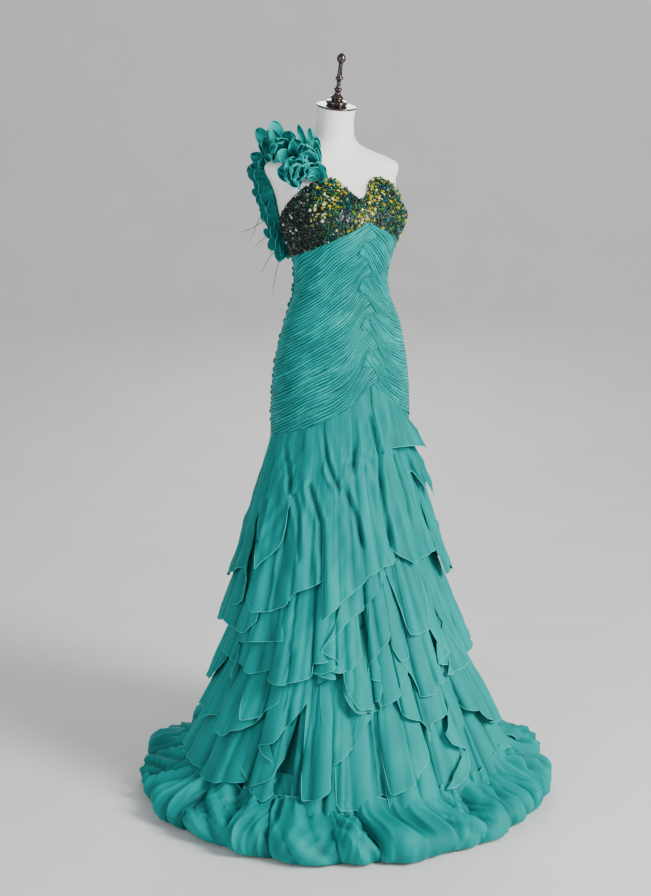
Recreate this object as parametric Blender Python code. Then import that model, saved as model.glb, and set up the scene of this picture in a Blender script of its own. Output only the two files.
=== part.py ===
"""One-shoulder prom dress with a tiered flounce skirt, on a limbless dress form.

Lengths below are in millimetres and angles in degrees; points are turned into metres when a mesh is made.
The axis of the stand is Z and the floor is at height 0. Angle 0 is the centre front, which faces -Y,
and angles grow towards +X, the wearer's left. The form's sections carry the whole dress.
"""

import math
from collections import namedtuple

import bpy
from mathutils import Vector

# Driving dimensions
FORM_FOOT = 800
NECK_TOP = 1505
FORM_RINGS = (860, 920, 980, 1030, 1070, 1105, 1140, 1180, 1215, 1250, 1285, 1320)
SHOULDER_RINGS = (1350, 1372, 1388, 1402, 1416, 1432, 1460)
NECK_LEAN = 12.5
CLOTH = 1.2
CLEARANCE = 0.3
FORM_SHRINK = 2.8
SEAM = 0.15
SEAM_ANGLE = 0.08
PLEAT_HEIGHT = 2.4
FLOUNCE_SPREAD = 28
FLOUNCE_WAVE = 19
EDGE_DROP = 12
WAVE_POWER = 1.3
PLY_STEP = 1.6
PLY_SPREAD = 3.0
SIDE_GAP = 0.3
STAND_BASE_RADIUS = 130
STAND_BASE_THICKNESS = 10
POLE_RADIUS = 12.5
STRAP_WIDTH = 22
STRAP_LIFT = (1.85, 1.9)

# Sections of the underskirt, lowest first, with straight runs between them
Section = namedtuple("Section", "height half_width front back centre")
SKIRT = [
    Section(0, 362, 362, 362, -14),
    Section(120, 315, 315, 315, -14),
    Section(190, 289, 286, 288, -14),
    Section(270, 263, 256, 259, -13),
    Section(360, 237, 224, 228, -11),
    Section(460, 214, 198, 204, -7),
    Section(560, 194, 171, 179, -3),
    Section(660, 177, 144, 155, 1),
    Section(740, 167, 126, 138, 3),
]

# Sections of the figure above it, lowest first
FIGURE = [
    Section(740, 167, 126, 138, 3),
    Section(800, 159, 117, 127, 4),
    Section(880, 156, 113, 124, 5),
    Section(950, 151, 107, 117, 4),
    Section(1010, 140, 99, 103, 3),
    Section(1060, 126, 93, 91, 2),
    Section(1100, 108, 86, 84, 2),
    Section(1135, 101, 82, 80, 2),
    Section(1170, 104, 86, 82, 2),
    Section(1200, 113, 93, 87, 4),
    Section(1240, 127, 102, 95, 8),
    Section(1280, 137, 103, 99, 14),
    Section(1320, 142, 92, 98, 23),
    Section(1350, 150, 82, 92, 34),
    Section(1370, 161, 74, 84, 38),
    Section(1386, 161, 66, 76, 40),
    Section(1400, 135, 60, 68, 42),
    Section(1412, 100, 54, 60, 42),
    Section(1425, 68, 49, 53, 40),
    Section(1440, 51, 45, 47, 37),
    Section(1460, 45, 43, 43, 33),
    Section(1482, 43, 42, 42, 29),
    Section(1505, 44, 43, 43, 25),
]
BUST = {"angle": 34, "height": 1282, "fullness": 36, "angle_width": 18, "height_width": 39}

# Edges of the pieces on the figure: height against the angle from the centre front
Edge = namedtuple("Edge", "angle height")
NECKLINE = [
    Edge(0, 1314), Edge(8, 1325), Edge(22, 1350), Edge(38, 1360), Edge(54, 1350), Edge(70, 1324),
    Edge(85, 1294), Edge(100, 1268), Edge(125, 1250), Edge(180, 1236),
]
BUST_SEAM = [
    Edge(0, 1271), Edge(20, 1250), Edge(45, 1226), Edge(75, 1204), Edge(107, 1193), Edge(180, 1180),
]
HIP_SEAM_CENTRE = 6
HIP_SEAM = [
    Edge(0, 925), Edge(12, 908), Edge(30, 878), Edge(57, 846), Edge(93, 820), Edge(130, 800),
    Edge(190, 790),
]

# Half columns run round the skirt from the right side seam: 18 to the hip point, then 16 for each other panel
Station = namedtuple("Station", "column angle")
STATIONS = [Station(0, -95), Station(18, 6), Station(34, 95), Station(50, 180), Station(66, 265)]

# The braided seam where the front pleats cross
BRAID_TEETH = 4.5
BRAID_SWING = 6.5
PLEAT_LIFT = 16

# Flounces: angles of both sides, heights of the top and the free edge at both sides, the ply it hangs in,
# and how much further than the others it flares. A top of None is the hip seam.
Flounce = namedtuple("Flounce", "name left right top_left top_right low_left low_right ply flare")
FLOUNCES = [
    Flounce("overlay_front", -42, 3, None, None, 435, 565, 0, 2),
    Flounce("overlay_front_under", -42, 3, 560, 660, 385, 512, 0, 0),
    Flounce("overlay_right", -89, -42, None, None, 450, 532, 0, 7),
    Flounce("overlay_right_under", -89, -42, 560, 600, 372, 408, 0, 0),
    Flounce("hip_flap_left", 3, 48, None, None, 770, 785, 1, 8),
    Flounce("overlay_left", 3, 48, None, None, 532, 560, 0, 0),
    Flounce("overlay_left_side", 48, 120, None, None, 455, 520, 0, 6),
    Flounce("overlay_back_left", 120, 193, None, None, 410, 450, 0, 0),
    Flounce("overlay_back_right", 193, 271, None, None, 385, 440, 0, 16),
    Flounce("tier2_right", -66, -25, 500, 500, 312, 338, 0, 0),
    Flounce("tier2_front", -25, 3, 520, 590, 345, 428, 0, 0),
    Flounce("tier2_left", 3, 25, 620, 620, 402, 430, 0, 0),
    Flounce("tier2_left_side", 25, 66, 580, 570, 305, 352, 0, 9),
    Flounce("tier2_back_left", 66, 150, 570, 520, 280, 340, 0, 0),
    Flounce("tier2_back", 150, 225, 500, 480, 280, 320, 0, 0),
    Flounce("tier2_back_right", 225, 294, 500, 470, 255, 330, 0, 0),
    Flounce("tier3_right", -69, -28, 350, 400, 182, 300, 0, 0),
    Flounce("tier3_front", -28, 3, 400, 450, 262, 335, 0, 0),
    Flounce("tier3_left", 3, 30, 450, 420, 222, 285, 0, 0),
    Flounce("tier3_left_side", 30, 76, 380, 380, 165, 250, 0, 8),
    Flounce("tier3_back_left", 76, 160, 370, 360, 155, 205, 0, 0),
    Flounce("tier3_back", 160, 225, 350, 350, 150, 200, 0, 0),
    Flounce("tier3_back_right", 225, 291, 330, 330, 180, 225, 0, 0),
    Flounce("tier4_right", -70, -34, 240, 330, 85, 150, 0, 0),
    Flounce("tier4_front", -34, 3, 330, 340, 110, 190, 0, 0),
    Flounce("tier4_left", 3, 48, 340, 240, 98, 170, 0, 0),
    Flounce("tier4_back_left", 48, 170, 225, 210, 80, 95, 0, 0),
    Flounce("tier4_back_right", 170, 290, 210, 230, 80, 95, 0, 0),
]

# Profile of the hem flounce: how far out from the underskirt, and the height
Roll = namedtuple("Roll", "out height")
HEM_ROLL = [
    Roll(-4.2, 132), Roll(17, 90), Roll(66, 36), Roll(125, 2.2), Roll(148, 20), Roll(139, 48),
    Roll(106, 58),
]
HEM_PANELS = {
    "hem_front_right": (0, 18),
    "hem_front_left": (18, 34),
    "hem_back_left": (34, 50),
    "hem_back_right": (50, 66),
}

# The strap's centre line on the figure
StrapPoint = namedtuple("StrapPoint", "angle height")
STRAP = [
    StrapPoint(-41, 1350), StrapPoint(-46, 1375), StrapPoint(-58, 1393), StrapPoint(-76, 1402),
    StrapPoint(-93, 1406), StrapPoint(-108, 1398), StrapPoint(-114, 1372), StrapPoint(-117, 1335),
    StrapPoint(-118, 1290), StrapPoint(-118, 1240), StrapPoint(-117, 1196),
]
STRAP_STEPS = 36

# Petals along the strap from the cup up: place on it, lean to the arm, tilt along it and size
Petal = namedtuple("Petal", "name place lean tilt width length cup")
PETALS = [
    Petal("petal_1", 0.03, 4, -62, 66, 62, 12),
    Petal("petal_2", 0.1, 30, -34, 58, 62, 12),
    Petal("petal_3", 0.17, -34, 6, 56, 76, 12),
    Petal("petal_4", 0.25, 22, 14, 60, 62, 12),
    Petal("petal_5", 0.33, -20, 26, 52, 60, 12),
    Petal("petal_6", 0.42, -8, 30, 58, 60, 12),
    Petal("petal_7", 0.5, -44, 30, 54, 58, 10),
]
Frill = namedtuple("Frill", "name start root lean start_height end_height waves swing")
STRAP_FRILLS = [
    Frill("strap_frill_outer", 0.58, 6, 30, 32, 24, 5, 8),
    Frill("strap_frill_inner", 0.6, -6, -36, 34, 26, 5, 8),
]
SIDE_FRILL = Frill("side_frill", 0, 0, 0, 10, 9, 10, 3)
SIDE_SEAM = [StrapPoint(-126, height) for height in (1168, 1080, 980, 880, 818)]

# Loose threads at the back of the strap: how far out and down each hangs, and how far it sways
Backing = namedtuple("Backing", "start end thickness")
THREAD_BACKING = Backing(0.74, 0.97, 1.6)
Thread = namedtuple("Thread", "out drop sway")
THREADS = [
    Thread(14, 62, 6), Thread(20, 40, -5), Thread(52, 20, 8), Thread(62, 6, -6), Thread(34, 46, 5),
    Thread(26, 60, -7), Thread(16, 74, 6),
]

# Turned pieces: radius and height of each ring
Ring = namedtuple("Ring", "radius height")
FINIAL = [
    Ring(41, 0), Ring(43, 1), Ring(43, 3), Ring(41, 4), Ring(20, 5), Ring(23, 8), Ring(22, 13),
    Ring(12, 16), Ring(15, 21), Ring(10, 25), Ring(6, 31), Ring(9, 38), Ring(5, 44), Ring(5, 55),
    Ring(9, 61), Ring(6, 67), Ring(5, 91), Ring(9, 97), Ring(10, 103), Ring(7, 110), Ring(2, 114),
]


def lerp(a, b, share):
    return a + (b - a) * share


def spline(rows, key, values, x):
    """Smooth values through a table's rows at x, on the column key."""
    last = len(rows) - 1
    x = min(max(x, getattr(rows[0], key)), getattr(rows[last], key))
    i = next(n for n in range(last) if x <= getattr(rows[n + 1], key))
    span = [rows[max(i - 1, 0)], rows[i], rows[i + 1], rows[min(i + 2, last)]]
    x0, x1, x2, x3 = (getattr(row, key) for row in span)
    t = (x - x1) / (x2 - x1)
    found = []
    for name in values:
        y0, y1, y2, y3 = (getattr(row, name) for row in span)
        start = (y2 - y0) / (x2 - x0) * (x2 - x1)
        end = (y3 - y1) / (x3 - x1) * (x2 - x1)
        low = (2 * t**3 - 3 * t**2 + 1) * y1 + (t**3 - 2 * t**2 + t) * start
        found.append(low + (3 * t**2 - 2 * t**3) * y2 + (t**3 - t**2) * end)
    return found


def around(angle):
    """The same direction, from -180 to 180."""
    return (angle + 180) % 360 - 180


def edge_height(edge, angle, centre=0):
    return spline(edge, "angle", ["height"], abs(around(angle - centre)))[0]


def body_point(angle, height, out=0.0):
    """A point of the figure or underskirt, moved out from its axis, in millimetres."""
    names = ["half_width", "front", "back", "centre"]
    if height < SKIRT[-1].height:
        low, high = next(pair for pair in zip(SKIRT, SKIRT[1:]) if height <= pair[1].height)
        share = (height - low.height) / (high.height - low.height)
        values = [lerp(getattr(low, name), getattr(high, name), share) for name in names]
    else:
        values = spline(FIGURE, "height", names, height)
    half_width, front, back, centre = values
    turn = around(angle)
    sine, cosine = math.sin(math.radians(turn)), math.cos(math.radians(turn))
    depth = front if cosine > 0 else back
    radius = 1 / math.hypot(sine / half_width, cosine / depth)
    for side in (-BUST["angle"], BUST["angle"]):
        aside = (turn - side) / BUST["angle_width"]
        above = (height - BUST["height"]) / BUST["height_width"]
        radius += BUST["fullness"] * math.exp(-(aside**2 + above**2) / 2)
    return Vector((sine * (radius + out), centre - cosine * (radius + out), height))


def column_angle(column):
    """The angle of a half column of the skirt."""
    for low, high in zip(STATIONS, STATIONS[1:]):
        if column <= high.column:
            return lerp(low.angle, high.angle, (column - low.column) / (high.column - low.column))
    return STATIONS[-1].angle


def nearest_column(angle):
    """The half column nearest to an angle; columns may pass 66 and start again."""
    turn = (angle + 95) % 360 - 95
    return min(range(STATIONS[-1].column), key=lambda column: abs(column_angle(column) - turn))


def skirt_point(column, height, out):
    """A point over the underskirt's own facets, whose edges lie on the even columns."""
    column %= STATIONS[-1].column
    low = column - column % 2
    high = low + 2
    first = body_point(column_angle(low), height, out)
    second = body_point(column_angle(high), height, out)
    return first.lerp(second, (column - low) / 2)


def wave(column):
    """The folds that all flounces share, from -1 to 1, uneven in width and depth."""
    turn = 2 * math.pi * column / STATIONS[-1].column
    depth = 0.82 + 0.18 * math.sin(5 * turn + 1.0)
    return depth * math.sin(16 * turn + 0.7 * math.sin(3 * turn) + 0.5 * math.sin(7 * turn + 2.0))


def material(name, colour, roughness, metallic=0.0):
    made = bpy.data.materials.new(name)
    made.use_nodes = True
    shader = made.node_tree.nodes["Principled BSDF"]
    shader.inputs["Base Color"].default_value = (*colour, 1)
    shader.inputs["Roughness"].default_value = roughness
    shader.inputs["Metallic"].default_value = metallic
    made.diffuse_color = (*colour, 1)
    return made


def add_object(name, points, faces, finish):
    mesh = bpy.data.meshes.new(name)
    mesh.from_pydata([point * 0.001 for point in points], [], faces)
    mesh.validate()
    mesh.materials.append(finish)
    mesh.shade_smooth()
    mesh.set_sharp_from_angle(angle=math.radians(50))
    made = bpy.data.objects.new(name, mesh)
    bpy.context.scene.collection.objects.link(made)
    return made


def wall(name, inner, outer, finish):
    """A closed wall between two grids of points. Rows run down and columns to the wearer's left."""
    rows, columns = len(inner), len(inner[0])
    points = [point for grid in (inner, outer) for row in grid for point in row]
    shift = rows * columns

    def index(i, j):
        return i * columns + j

    faces = []
    for i in range(rows - 1):
        for j in range(columns - 1):
            a, b, c, d = index(i, j), index(i, j + 1), index(i + 1, j + 1), index(i + 1, j)
            faces += [(a, b, c), (a, c, d)]
            faces += [(shift + c, shift + b, shift + a), (shift + d, shift + c, shift + a)]
    rim = [index(0, j) for j in range(columns)]
    rim += [index(i, columns - 1) for i in range(1, rows)]
    rim += [index(rows - 1, j) for j in range(columns - 2, -1, -1)]
    rim += [index(i, 0) for i in range(rows - 2, 0, -1)]
    for a, b in zip(rim, rim[1:] + rim[:1]):
        faces.append((b, a, shift + a, shift + b))
    return add_object(name, points, faces, finish)


def normals(grid):
    """The outward direction at each point of a grid whose rows run down and columns to the wearer's left."""
    rows, columns = len(grid), len(grid[0])
    found = []
    for i in range(rows):
        line = []
        for j in range(columns):
            along = grid[i][min(j + 1, columns - 1)] - grid[i][max(j - 1, 0)]
            down = grid[min(i + 1, rows - 1)][j] - grid[max(i - 1, 0)][j]
            line.append(down.cross(along).normalized())
        found.append(line)
    return found


def moved(grid, distance):
    """The grid, moved along its outward directions."""
    facing = normals(grid)
    return [[p + n * distance for p, n in zip(line, turned)] for line, turned in zip(grid, facing)]


def rings_solid(name, rings, finish):
    """A closed solid through level rings of points, lowest first, each ring counter-clockwise from above."""
    count = len(rings[0])
    points = [point for ring in rings for point in ring]
    faces = [tuple(range(count - 1, -1, -1)), tuple(range(len(points) - count, len(points)))]
    for r in range(len(rings) - 1):
        for j in range(count):
            k = (j + 1) % count
            faces.append((r * count + j, r * count + k, (r + 1) * count + k, (r + 1) * count + j))
    return add_object(name, points, faces, finish)


def turned_piece(name, profile, finish, foot, sides, lean=0.0):
    """A turned piece on an axis through foot, leaning to the front by lean."""
    tilt = math.radians(lean)
    axis = Vector((0, -math.sin(tilt), math.cos(tilt)))
    across = Vector((0, math.cos(tilt), math.sin(tilt)))
    rings = []
    for row in profile:
        ring = []
        for j in range(sides):
            turn = 2 * math.pi * j / sides
            spoke = Vector((1, 0, 0)) * math.cos(turn) + across * math.sin(turn)
            ring.append(foot + axis * row.height + spoke * row.radius)
        rings.append(ring)
    return rings_solid(name, rings, finish)


def neck_slant(point, height):
    """The neck's rings tilt more and more towards its slanted top."""
    share = min(max((height - 1440) / (NECK_TOP - 1440), 0), 1)
    centre = spline(FIGURE, "height", ["centre"], height)[0]
    return point + Vector((0, 0, share * math.tan(math.radians(NECK_LEAN)) * (point.y - centre)))


def build_form(cover, dark, metal):
    """The limbless dress form: torso and neck under a turned finial, on a pole with a round base."""
    rings = []
    for height in (FORM_FOOT, *FORM_RINGS, *SHOULDER_RINGS, NECK_TOP):
        angles = [360 * j / 32 for j in range(32)]
        rings.append([neck_slant(body_point(angle, height, -FORM_SHRINK), height) for angle in angles])
    rings_solid("form_torso", rings, cover)
    top = Vector((0, FIGURE[-1].centre, NECK_TOP))
    lift = Vector((0, -math.sin(math.radians(NECK_LEAN)), math.cos(math.radians(NECK_LEAN))))
    turned_piece("form_finial", FINIAL, dark, top + lift * CLEARANCE, 12, NECK_LEAN)
    radius, thickness = STAND_BASE_RADIUS, STAND_BASE_THICKNESS
    base = [Ring(radius, 0), Ring(radius, thickness - 3), Ring(radius - 4, thickness)]
    turned_piece("stand_base", base, metal, Vector((0, 0, 0)), 32)
    pole = [Ring(POLE_RADIUS, STAND_BASE_THICKNESS + CLEARANCE), Ring(POLE_RADIUS, FORM_FOOT - CLEARANCE)]
    turned_piece("stand_pole", pole, metal, Vector((0, 0, 0)), 16)


def panel(name, left, right, columns, top, low, rows, finish, pleated=False, lift=0.0, seams=(None, None)):
    """A panel on the figure between two sides and two edges, with pleats along its rows if it is pleated.

    left and right are angles, seams gives a function of the share down for a side that isn't straight,
    and lift raises the rows' ends towards the front seam.
    """
    inner, outer = [], []
    for i in range(rows + 1):
        share = i / rows
        start = (seams[0](share) if seams[0] else left) + SEAM_ANGLE
        end = (seams[1](share) if seams[1] else right) - SEAM_ANGLE
        ridge = PLEAT_HEIGHT if pleated and i % 2 else 0.0
        inside, outside = [], []
        for j in range(columns + 1):
            angle = lerp(start, end, j / columns)
            height = lerp(top(angle) - SEAM, low(angle) + SEAM, share)
            nearness = math.exp(-((around(angle - HIP_SEAM_CENTRE) / 32) ** 2))
            height += lift * math.sin(math.pi * share) * nearness
            inside.append(body_point(angle, height, CLEARANCE))
            outside.append(body_point(angle, height, CLEARANCE + CLOTH + ridge))
        inner.append(inside)
        outer.append(outside)
    return wall(name, inner, outer, finish)


def braid(share):
    """The angle of the zigzag seam between the front pleats, at a share of the way down."""
    swing = BRAID_SWING * math.sin(math.pi * min(share * 12, 1) / 2) * min(1, (1 - share) * 10)
    saw = 2 / math.pi * math.asin(math.sin(2 * math.pi * BRAID_TEETH * share))
    return lerp(0, HIP_SEAM_CENTRE, share) + 3 * math.sin(math.pi * share) + swing * saw


def neckline(angle):
    return edge_height(NECKLINE, angle)


def bust_seam(angle):
    return edge_height(BUST_SEAM, angle)


def hip_seam(angle):
    return edge_height(HIP_SEAM, angle, HIP_SEAM_CENTRE)


def build_bodice(beaded, chiffon):
    panel("cup_right", -95, 0, 15, neckline, bust_seam, 9, beaded)
    panel("cup_left", 0, 95, 15, neckline, bust_seam, 9, beaded)
    panel("band_back_left", 95, 180, 8, neckline, bust_seam, 2, beaded)
    panel("band_back_right", 180, 265, 8, neckline, bust_seam, 2, beaded)
    panel("midriff_right", -95, 0, 9, bust_seam, hip_seam, 28, chiffon, True, PLEAT_LIFT, (None, braid))
    panel("midriff_left", 0, 95, 8, bust_seam, hip_seam, 28, chiffon, True, PLEAT_LIFT, (braid, None))
    panel("midriff_back_left", 95, 180, 8, bust_seam, hip_seam, 18, chiffon, True)
    panel("midriff_back_right", 180, 265, 8, bust_seam, hip_seam, 18, chiffon, True)


def build_underskirt(chiffon):
    """Four plain gores under the flounces, with their edges on the even half columns."""
    names = [f"underskirt_{place}" for place in ("front_right", "front_left", "back_left", "back_right")]
    levels = [row.height for row in reversed(SKIRT) if row.height > 0]
    for name, left, right in zip(names, STATIONS, STATIONS[1:]):
        columns = range(left.column, right.column + 1, 2)
        inner, outer = [], []
        for step in range(len(levels) + 1):
            inside, outside = [], []
            for column in columns:
                angle = column_angle(column)
                edge = SEAM_ANGLE * ((column == left.column) - (column == right.column))
                height = levels[step - 1] if step else hip_seam(angle) - SEAM
                inside.append(body_point(angle + edge, height, CLEARANCE))
                outside.append(body_point(angle + edge, height, CLEARANCE + CLOTH))
            inner.append(inside)
            outer.append(outside)
        wall(name, inner, outer, chiffon)


def flounce(row, finish):
    """One flounce: it leaves the underskirt at its top, and spreads and folds towards its free edge."""
    first, last = nearest_column(row.left), nearest_column(row.right)
    if last <= first:
        last += STATIONS[-1].column
    inner = []
    for share in (0, 0.5, 1) if row.top_left else (0, 0.35, 0.7, 1):
        line = []
        for column in range(first, last + 1):
            across = (column - first) / (last - first)
            angle = column_angle(column % STATIONS[-1].column)
            seam = hip_seam(angle) - SEAM
            top = seam if row.top_left is None else lerp(row.top_left, row.top_right, across)
            height = lerp(top, lerp(row.low_left, row.low_right, across), share)
            out = 2 * CLEARANCE + CLOTH + 0.5 + row.ply * (PLY_STEP + PLY_SPREAD * share)
            fold = share**WAVE_POWER * wave(column)
            out += (FLOUNCE_SPREAD + row.flare) * share + FLOUNCE_WAVE * fold
            height -= EDGE_DROP * fold
            line.append(skirt_point(column, height, out))
        gap = SIDE_GAP / 2
        line[0] = line[0].lerp(line[1], gap * 2 / (line[1] - line[0]).length)
        line[-1] = line[-1].lerp(line[-2], gap * 2 / (line[-2] - line[-1]).length)
        inner.append(line)
    return wall(row.name, inner, moved(inner, CLOTH), finish)


def build_hem(chiffon):
    """The hem flounce in four panels: it runs out over the floor and rolls back on itself in puffs."""
    for name, (first, last) in HEM_PANELS.items():
        inner = []
        for step, row in enumerate(HEM_ROLL):
            share = step / (len(HEM_ROLL) - 1)
            line = []
            for column in range(first, last + 1):
                fold = wave(column) * math.sin(math.pi * min(share * 0.75 + 0.05, 1)) if step else 0
                out = row.out + CLEARANCE * 2 + CLOTH + 9 * fold
                height = row.height * (1 + 0.28 * wave(column + 1.5)) if step > 3 else row.height
                line.append(skirt_point(column, SKIRT[1].height, out))
                line[-1].z = max(height, 2.2)
            line[0] = line[0].lerp(line[1], SIDE_GAP / (line[1] - line[0]).length)
            line[-1] = line[-1].lerp(line[-2], SIDE_GAP / (line[-2] - line[-1]).length)
            inner.append(line)
        wall(name, inner, moved(inner, CLOTH), chiffon)


def facing(angle, height):
    """The figure's outward direction at a point."""
    along = body_point(angle + 1, height) - body_point(angle - 1, height)
    down = body_point(angle, height - 2) - body_point(angle, height + 2)
    return down.cross(along).normalized()


def frames_along(path, lifts, steps):
    """Points along a path on the figure with their travel, outward and sideways directions.

    They lift off the figure by the first of the lifts at the start and by the second at the end.
    """
    Place = namedtuple("Place", "share angle height")
    last = len(path) - 1
    rows = [Place(n / last, row.angle, row.height) for n, row in enumerate(path)]
    places = [spline(rows, "share", ["angle", "height"], n / steps) for n in range(steps + 1)]
    spine = []
    for n, (angle, height) in enumerate(places):
        spine.append(body_point(angle, height) + facing(angle, height) * lerp(*lifts, min(3 * n / steps, 1)))
    frames = []
    for n, ((angle, height), point) in enumerate(zip(places, spine)):
        travel = (spine[min(n + 1, steps)] - spine[max(n - 1, 0)]).normalized()
        outward = facing(angle, height)
        outward = (outward - travel * outward.dot(travel)).normalized()
        frames.append((point, travel, outward, outward.cross(travel)))
    return frames


def frame_at(frames, share):
    """The point and directions at a share of a path's length."""
    place = min(max(share, 0), 0.9999) * (len(frames) - 1)
    n = int(place)
    mixed = [a.lerp(b, place - n) for a, b in zip(frames[n], frames[n + 1])]
    return [mixed[0]] + [direction.normalized() for direction in mixed[1:]]


def beside(point, side, offset, lift):
    """A point to the side of another over the figure, at the same lift from its surface."""
    angle, height = math.degrees(math.atan2(point.x, -point.y)), point.z
    target = point + side * offset
    for _ in range(12):
        now = body_point(angle, height) + facing(angle, height) * lift
        along = (body_point(angle + 1, height) - body_point(angle - 1, height)) / 2
        up = (body_point(angle, height + 1) - body_point(angle, height - 1)) / 2
        miss = target - now
        aa, ab, bb = along.dot(along), along.dot(up), up.dot(up)
        ra, rb = along.dot(miss), up.dot(miss)
        scale = aa * bb - ab * ab
        angle += 0.7 * (ra * bb - rb * ab) / scale
        height += 0.7 * (rb * aa - ra * ab) / scale
    return body_point(angle, height) + facing(angle, height) * lift


def petal(row, frames, finish):
    """A round petal standing on the strap, cupped along its length."""
    point, travel, outward, side = frame_at(frames, row.place)
    lean, tilt = math.radians(row.lean), math.radians(row.tilt)
    up = (outward * math.cos(lean) + side * math.sin(lean)) * math.cos(tilt) + travel * math.sin(tilt)
    through = side.cross(up).normalized()
    root = point + outward * (CLOTH + CLEARANCE + 0.3 + CLOTH * max(0, -math.sin(tilt)))
    grid = []
    for reach in (0, 0.25, 0.55, 0.82, 1):
        width = row.width * (0.16 + 0.84 * math.sin(math.pi * min(reach * 0.86 + 0.03, 1)) ** 0.7)
        line = []
        for j in range(6):
            swing = j / 5 * 2 - 1
            bend = row.cup * (reach * swing**2 + 0.5 * reach**2)
            line.append(root + up * (row.length * reach) + side * (width / 2 * swing) + through * bend)
        grid.append(line)
    return wall(row.name, grid, moved(grid, CLOTH), finish)


def frill(row, frames, steps, finish):
    """A gathered strip sewn along a path by one edge."""
    grid = []
    for n in range(steps + 1):
        share = n / steps
        point, travel, outward, side = frame_at(frames, lerp(row.start, 1, share))
        turn = math.radians(row.lean)
        up = outward * math.cos(turn) + side * math.sin(turn)
        sway = travel.cross(up)
        height = lerp(row.start_height, row.end_height, share)
        lift = CLOTH + CLEARANCE + 0.3 + CLOTH * abs(math.sin(turn)) - row.root**2 / 90
        root = point + outward * lift + side * row.root
        fold = math.sin(2 * math.pi * row.waves * share)
        tip = up * height + sway * (row.swing * fold)
        grid.append([root + tip * reach for reach in (0, 0.5, 1)])
    return wall(row.name, grid, moved(grid, CLOTH), finish)


def strap_threads(frames, finish):
    """Loose threads joined at their roots into a narrow backing on the back of the strap."""
    rows = 2 * len(THREADS) + 1
    start, end = THREAD_BACKING.start, THREAD_BACKING.end
    inner, outer = [], []
    for i in range(rows):
        point, _, outward, side = frame_at(frames, lerp(start, end, i / (rows - 1)))
        inner.append([point + outward * (CLOTH + CLEARANCE) + side * offset for offset in (-2.5, 2.5)])
        outer.append([point + outward * (2 * CLOTH + CLEARANCE) + side * offset for offset in (-2.5, 2.5)])
    points = [point for grid in (inner, outer) for line in grid for point in line]
    shift = 2 * rows
    faces = [(0, 1, shift + 1, shift), (shift - 1, shift - 2, 2 * shift - 2, 2 * shift - 1)]
    faces = [tuple(reversed(face)) for face in faces]
    for i in range(rows - 1):
        a, b, c, d = 2 * i, 2 * i + 1, 2 * i + 3, 2 * i + 2
        faces += [(a, b, c), (a, c, d), (a, d, shift + d, shift + a), (c, b, shift + b, shift + c)]
        if i % 2 == 0:
            faces += [(shift + c, shift + b, shift + a), (shift + d, shift + c, shift + a)]
            continue
        row = THREADS[i // 2]
        ring = [shift + a, shift + b, shift + c, shift + d]
        root = sum((points[n] for n in ring), Vector()) / 4
        _, travel, outward, side = frame_at(frames, lerp(start, end, (i + 0.5) / (rows - 1)))
        for step in range(1, 6):
            reach = step / 5
            centre = root + outward * (row.out * reach + 3 * (1 - reach))
            centre += side * (row.sway * math.sin(3 * reach))
            centre.z -= row.drop * reach**1.6
            size = THREAD_BACKING.thickness * (0.5 if step < 5 else 0.3)
            corners = [(-1, -1), (-1, 1), (1, 1), (1, -1)]
            points += [centre + travel * (size * u) + side * (size * v) for u, v in corners]
            new = list(range(len(points) - 4, len(points)))
            for n in range(4):
                m = (n + 1) % 4
                faces.append((ring[m], ring[n], new[n], new[m]))
            ring = new
        faces.append(tuple(reversed(ring)))
    return add_object("strap_threads", points, faces, finish)


def build_strap(chiffon, thread):
    """The shoulder strap with its petals in front, two frills down its back and its loose threads."""
    frames = frames_along(STRAP, STRAP_LIFT, STRAP_STEPS)
    offsets = (-STRAP_WIDTH / 2, 0, STRAP_WIDTH / 2)
    inner, outer = [], []
    for n in range(0, STRAP_STEPS + 1, 2):
        point, _, _, side = frames[n]
        lift = lerp(*STRAP_LIFT, min(3 * n / STRAP_STEPS, 1))
        inner.append([beside(point, side, offset, lift) for offset in offsets])
        outer.append([beside(point, side, offset, lift + CLOTH) for offset in offsets])
    wall("strap_band", inner, outer, chiffon)
    for row in PETALS:
        petal(row, frames, chiffon)
    for row in STRAP_FRILLS:
        frill(row, frames, 22, chiffon)
    strap_threads(frames, thread)
    frill(SIDE_FRILL, frames_along(SIDE_SEAM, (PLEAT_HEIGHT, PLEAT_HEIGHT), 20), 30, chiffon)


def main():
    for old in list(bpy.data.objects):
        bpy.data.objects.remove(old)
    chiffon = material("chiffon", (0.02, 0.62, 0.56), 0.6)
    beaded = material("beaded", (0.03, 0.16, 0.12), 0.3)
    cover = material("form_cover", (0.86, 0.86, 0.84), 0.55)
    thread = material("thread", (0.42, 0.36, 0.36), 0.8)
    dark = material("dark_wood", (0.03, 0.018, 0.014), 0.25)
    metal = material("stand_metal", (0.12, 0.12, 0.13), 0.35, 1.0)
    build_form(cover, dark, metal)
    build_bodice(beaded, chiffon)
    build_underskirt(chiffon)
    for row in FLOUNCES:
        flounce(row, chiffon)
    build_hem(chiffon)
    build_strap(chiffon, thread)


main()
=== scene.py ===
"""The looks of a one-shoulder prom dress on a limbless dress form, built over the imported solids.

Lengths are in millimetres and angles in degrees, as in the part's source. Only the materials, the floor, the
lights and the camera are in metres. Angle 0 is the centre front, which faces -Y, and angles grow towards the
wearer's left.
"""

import math
from collections import namedtuple

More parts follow.
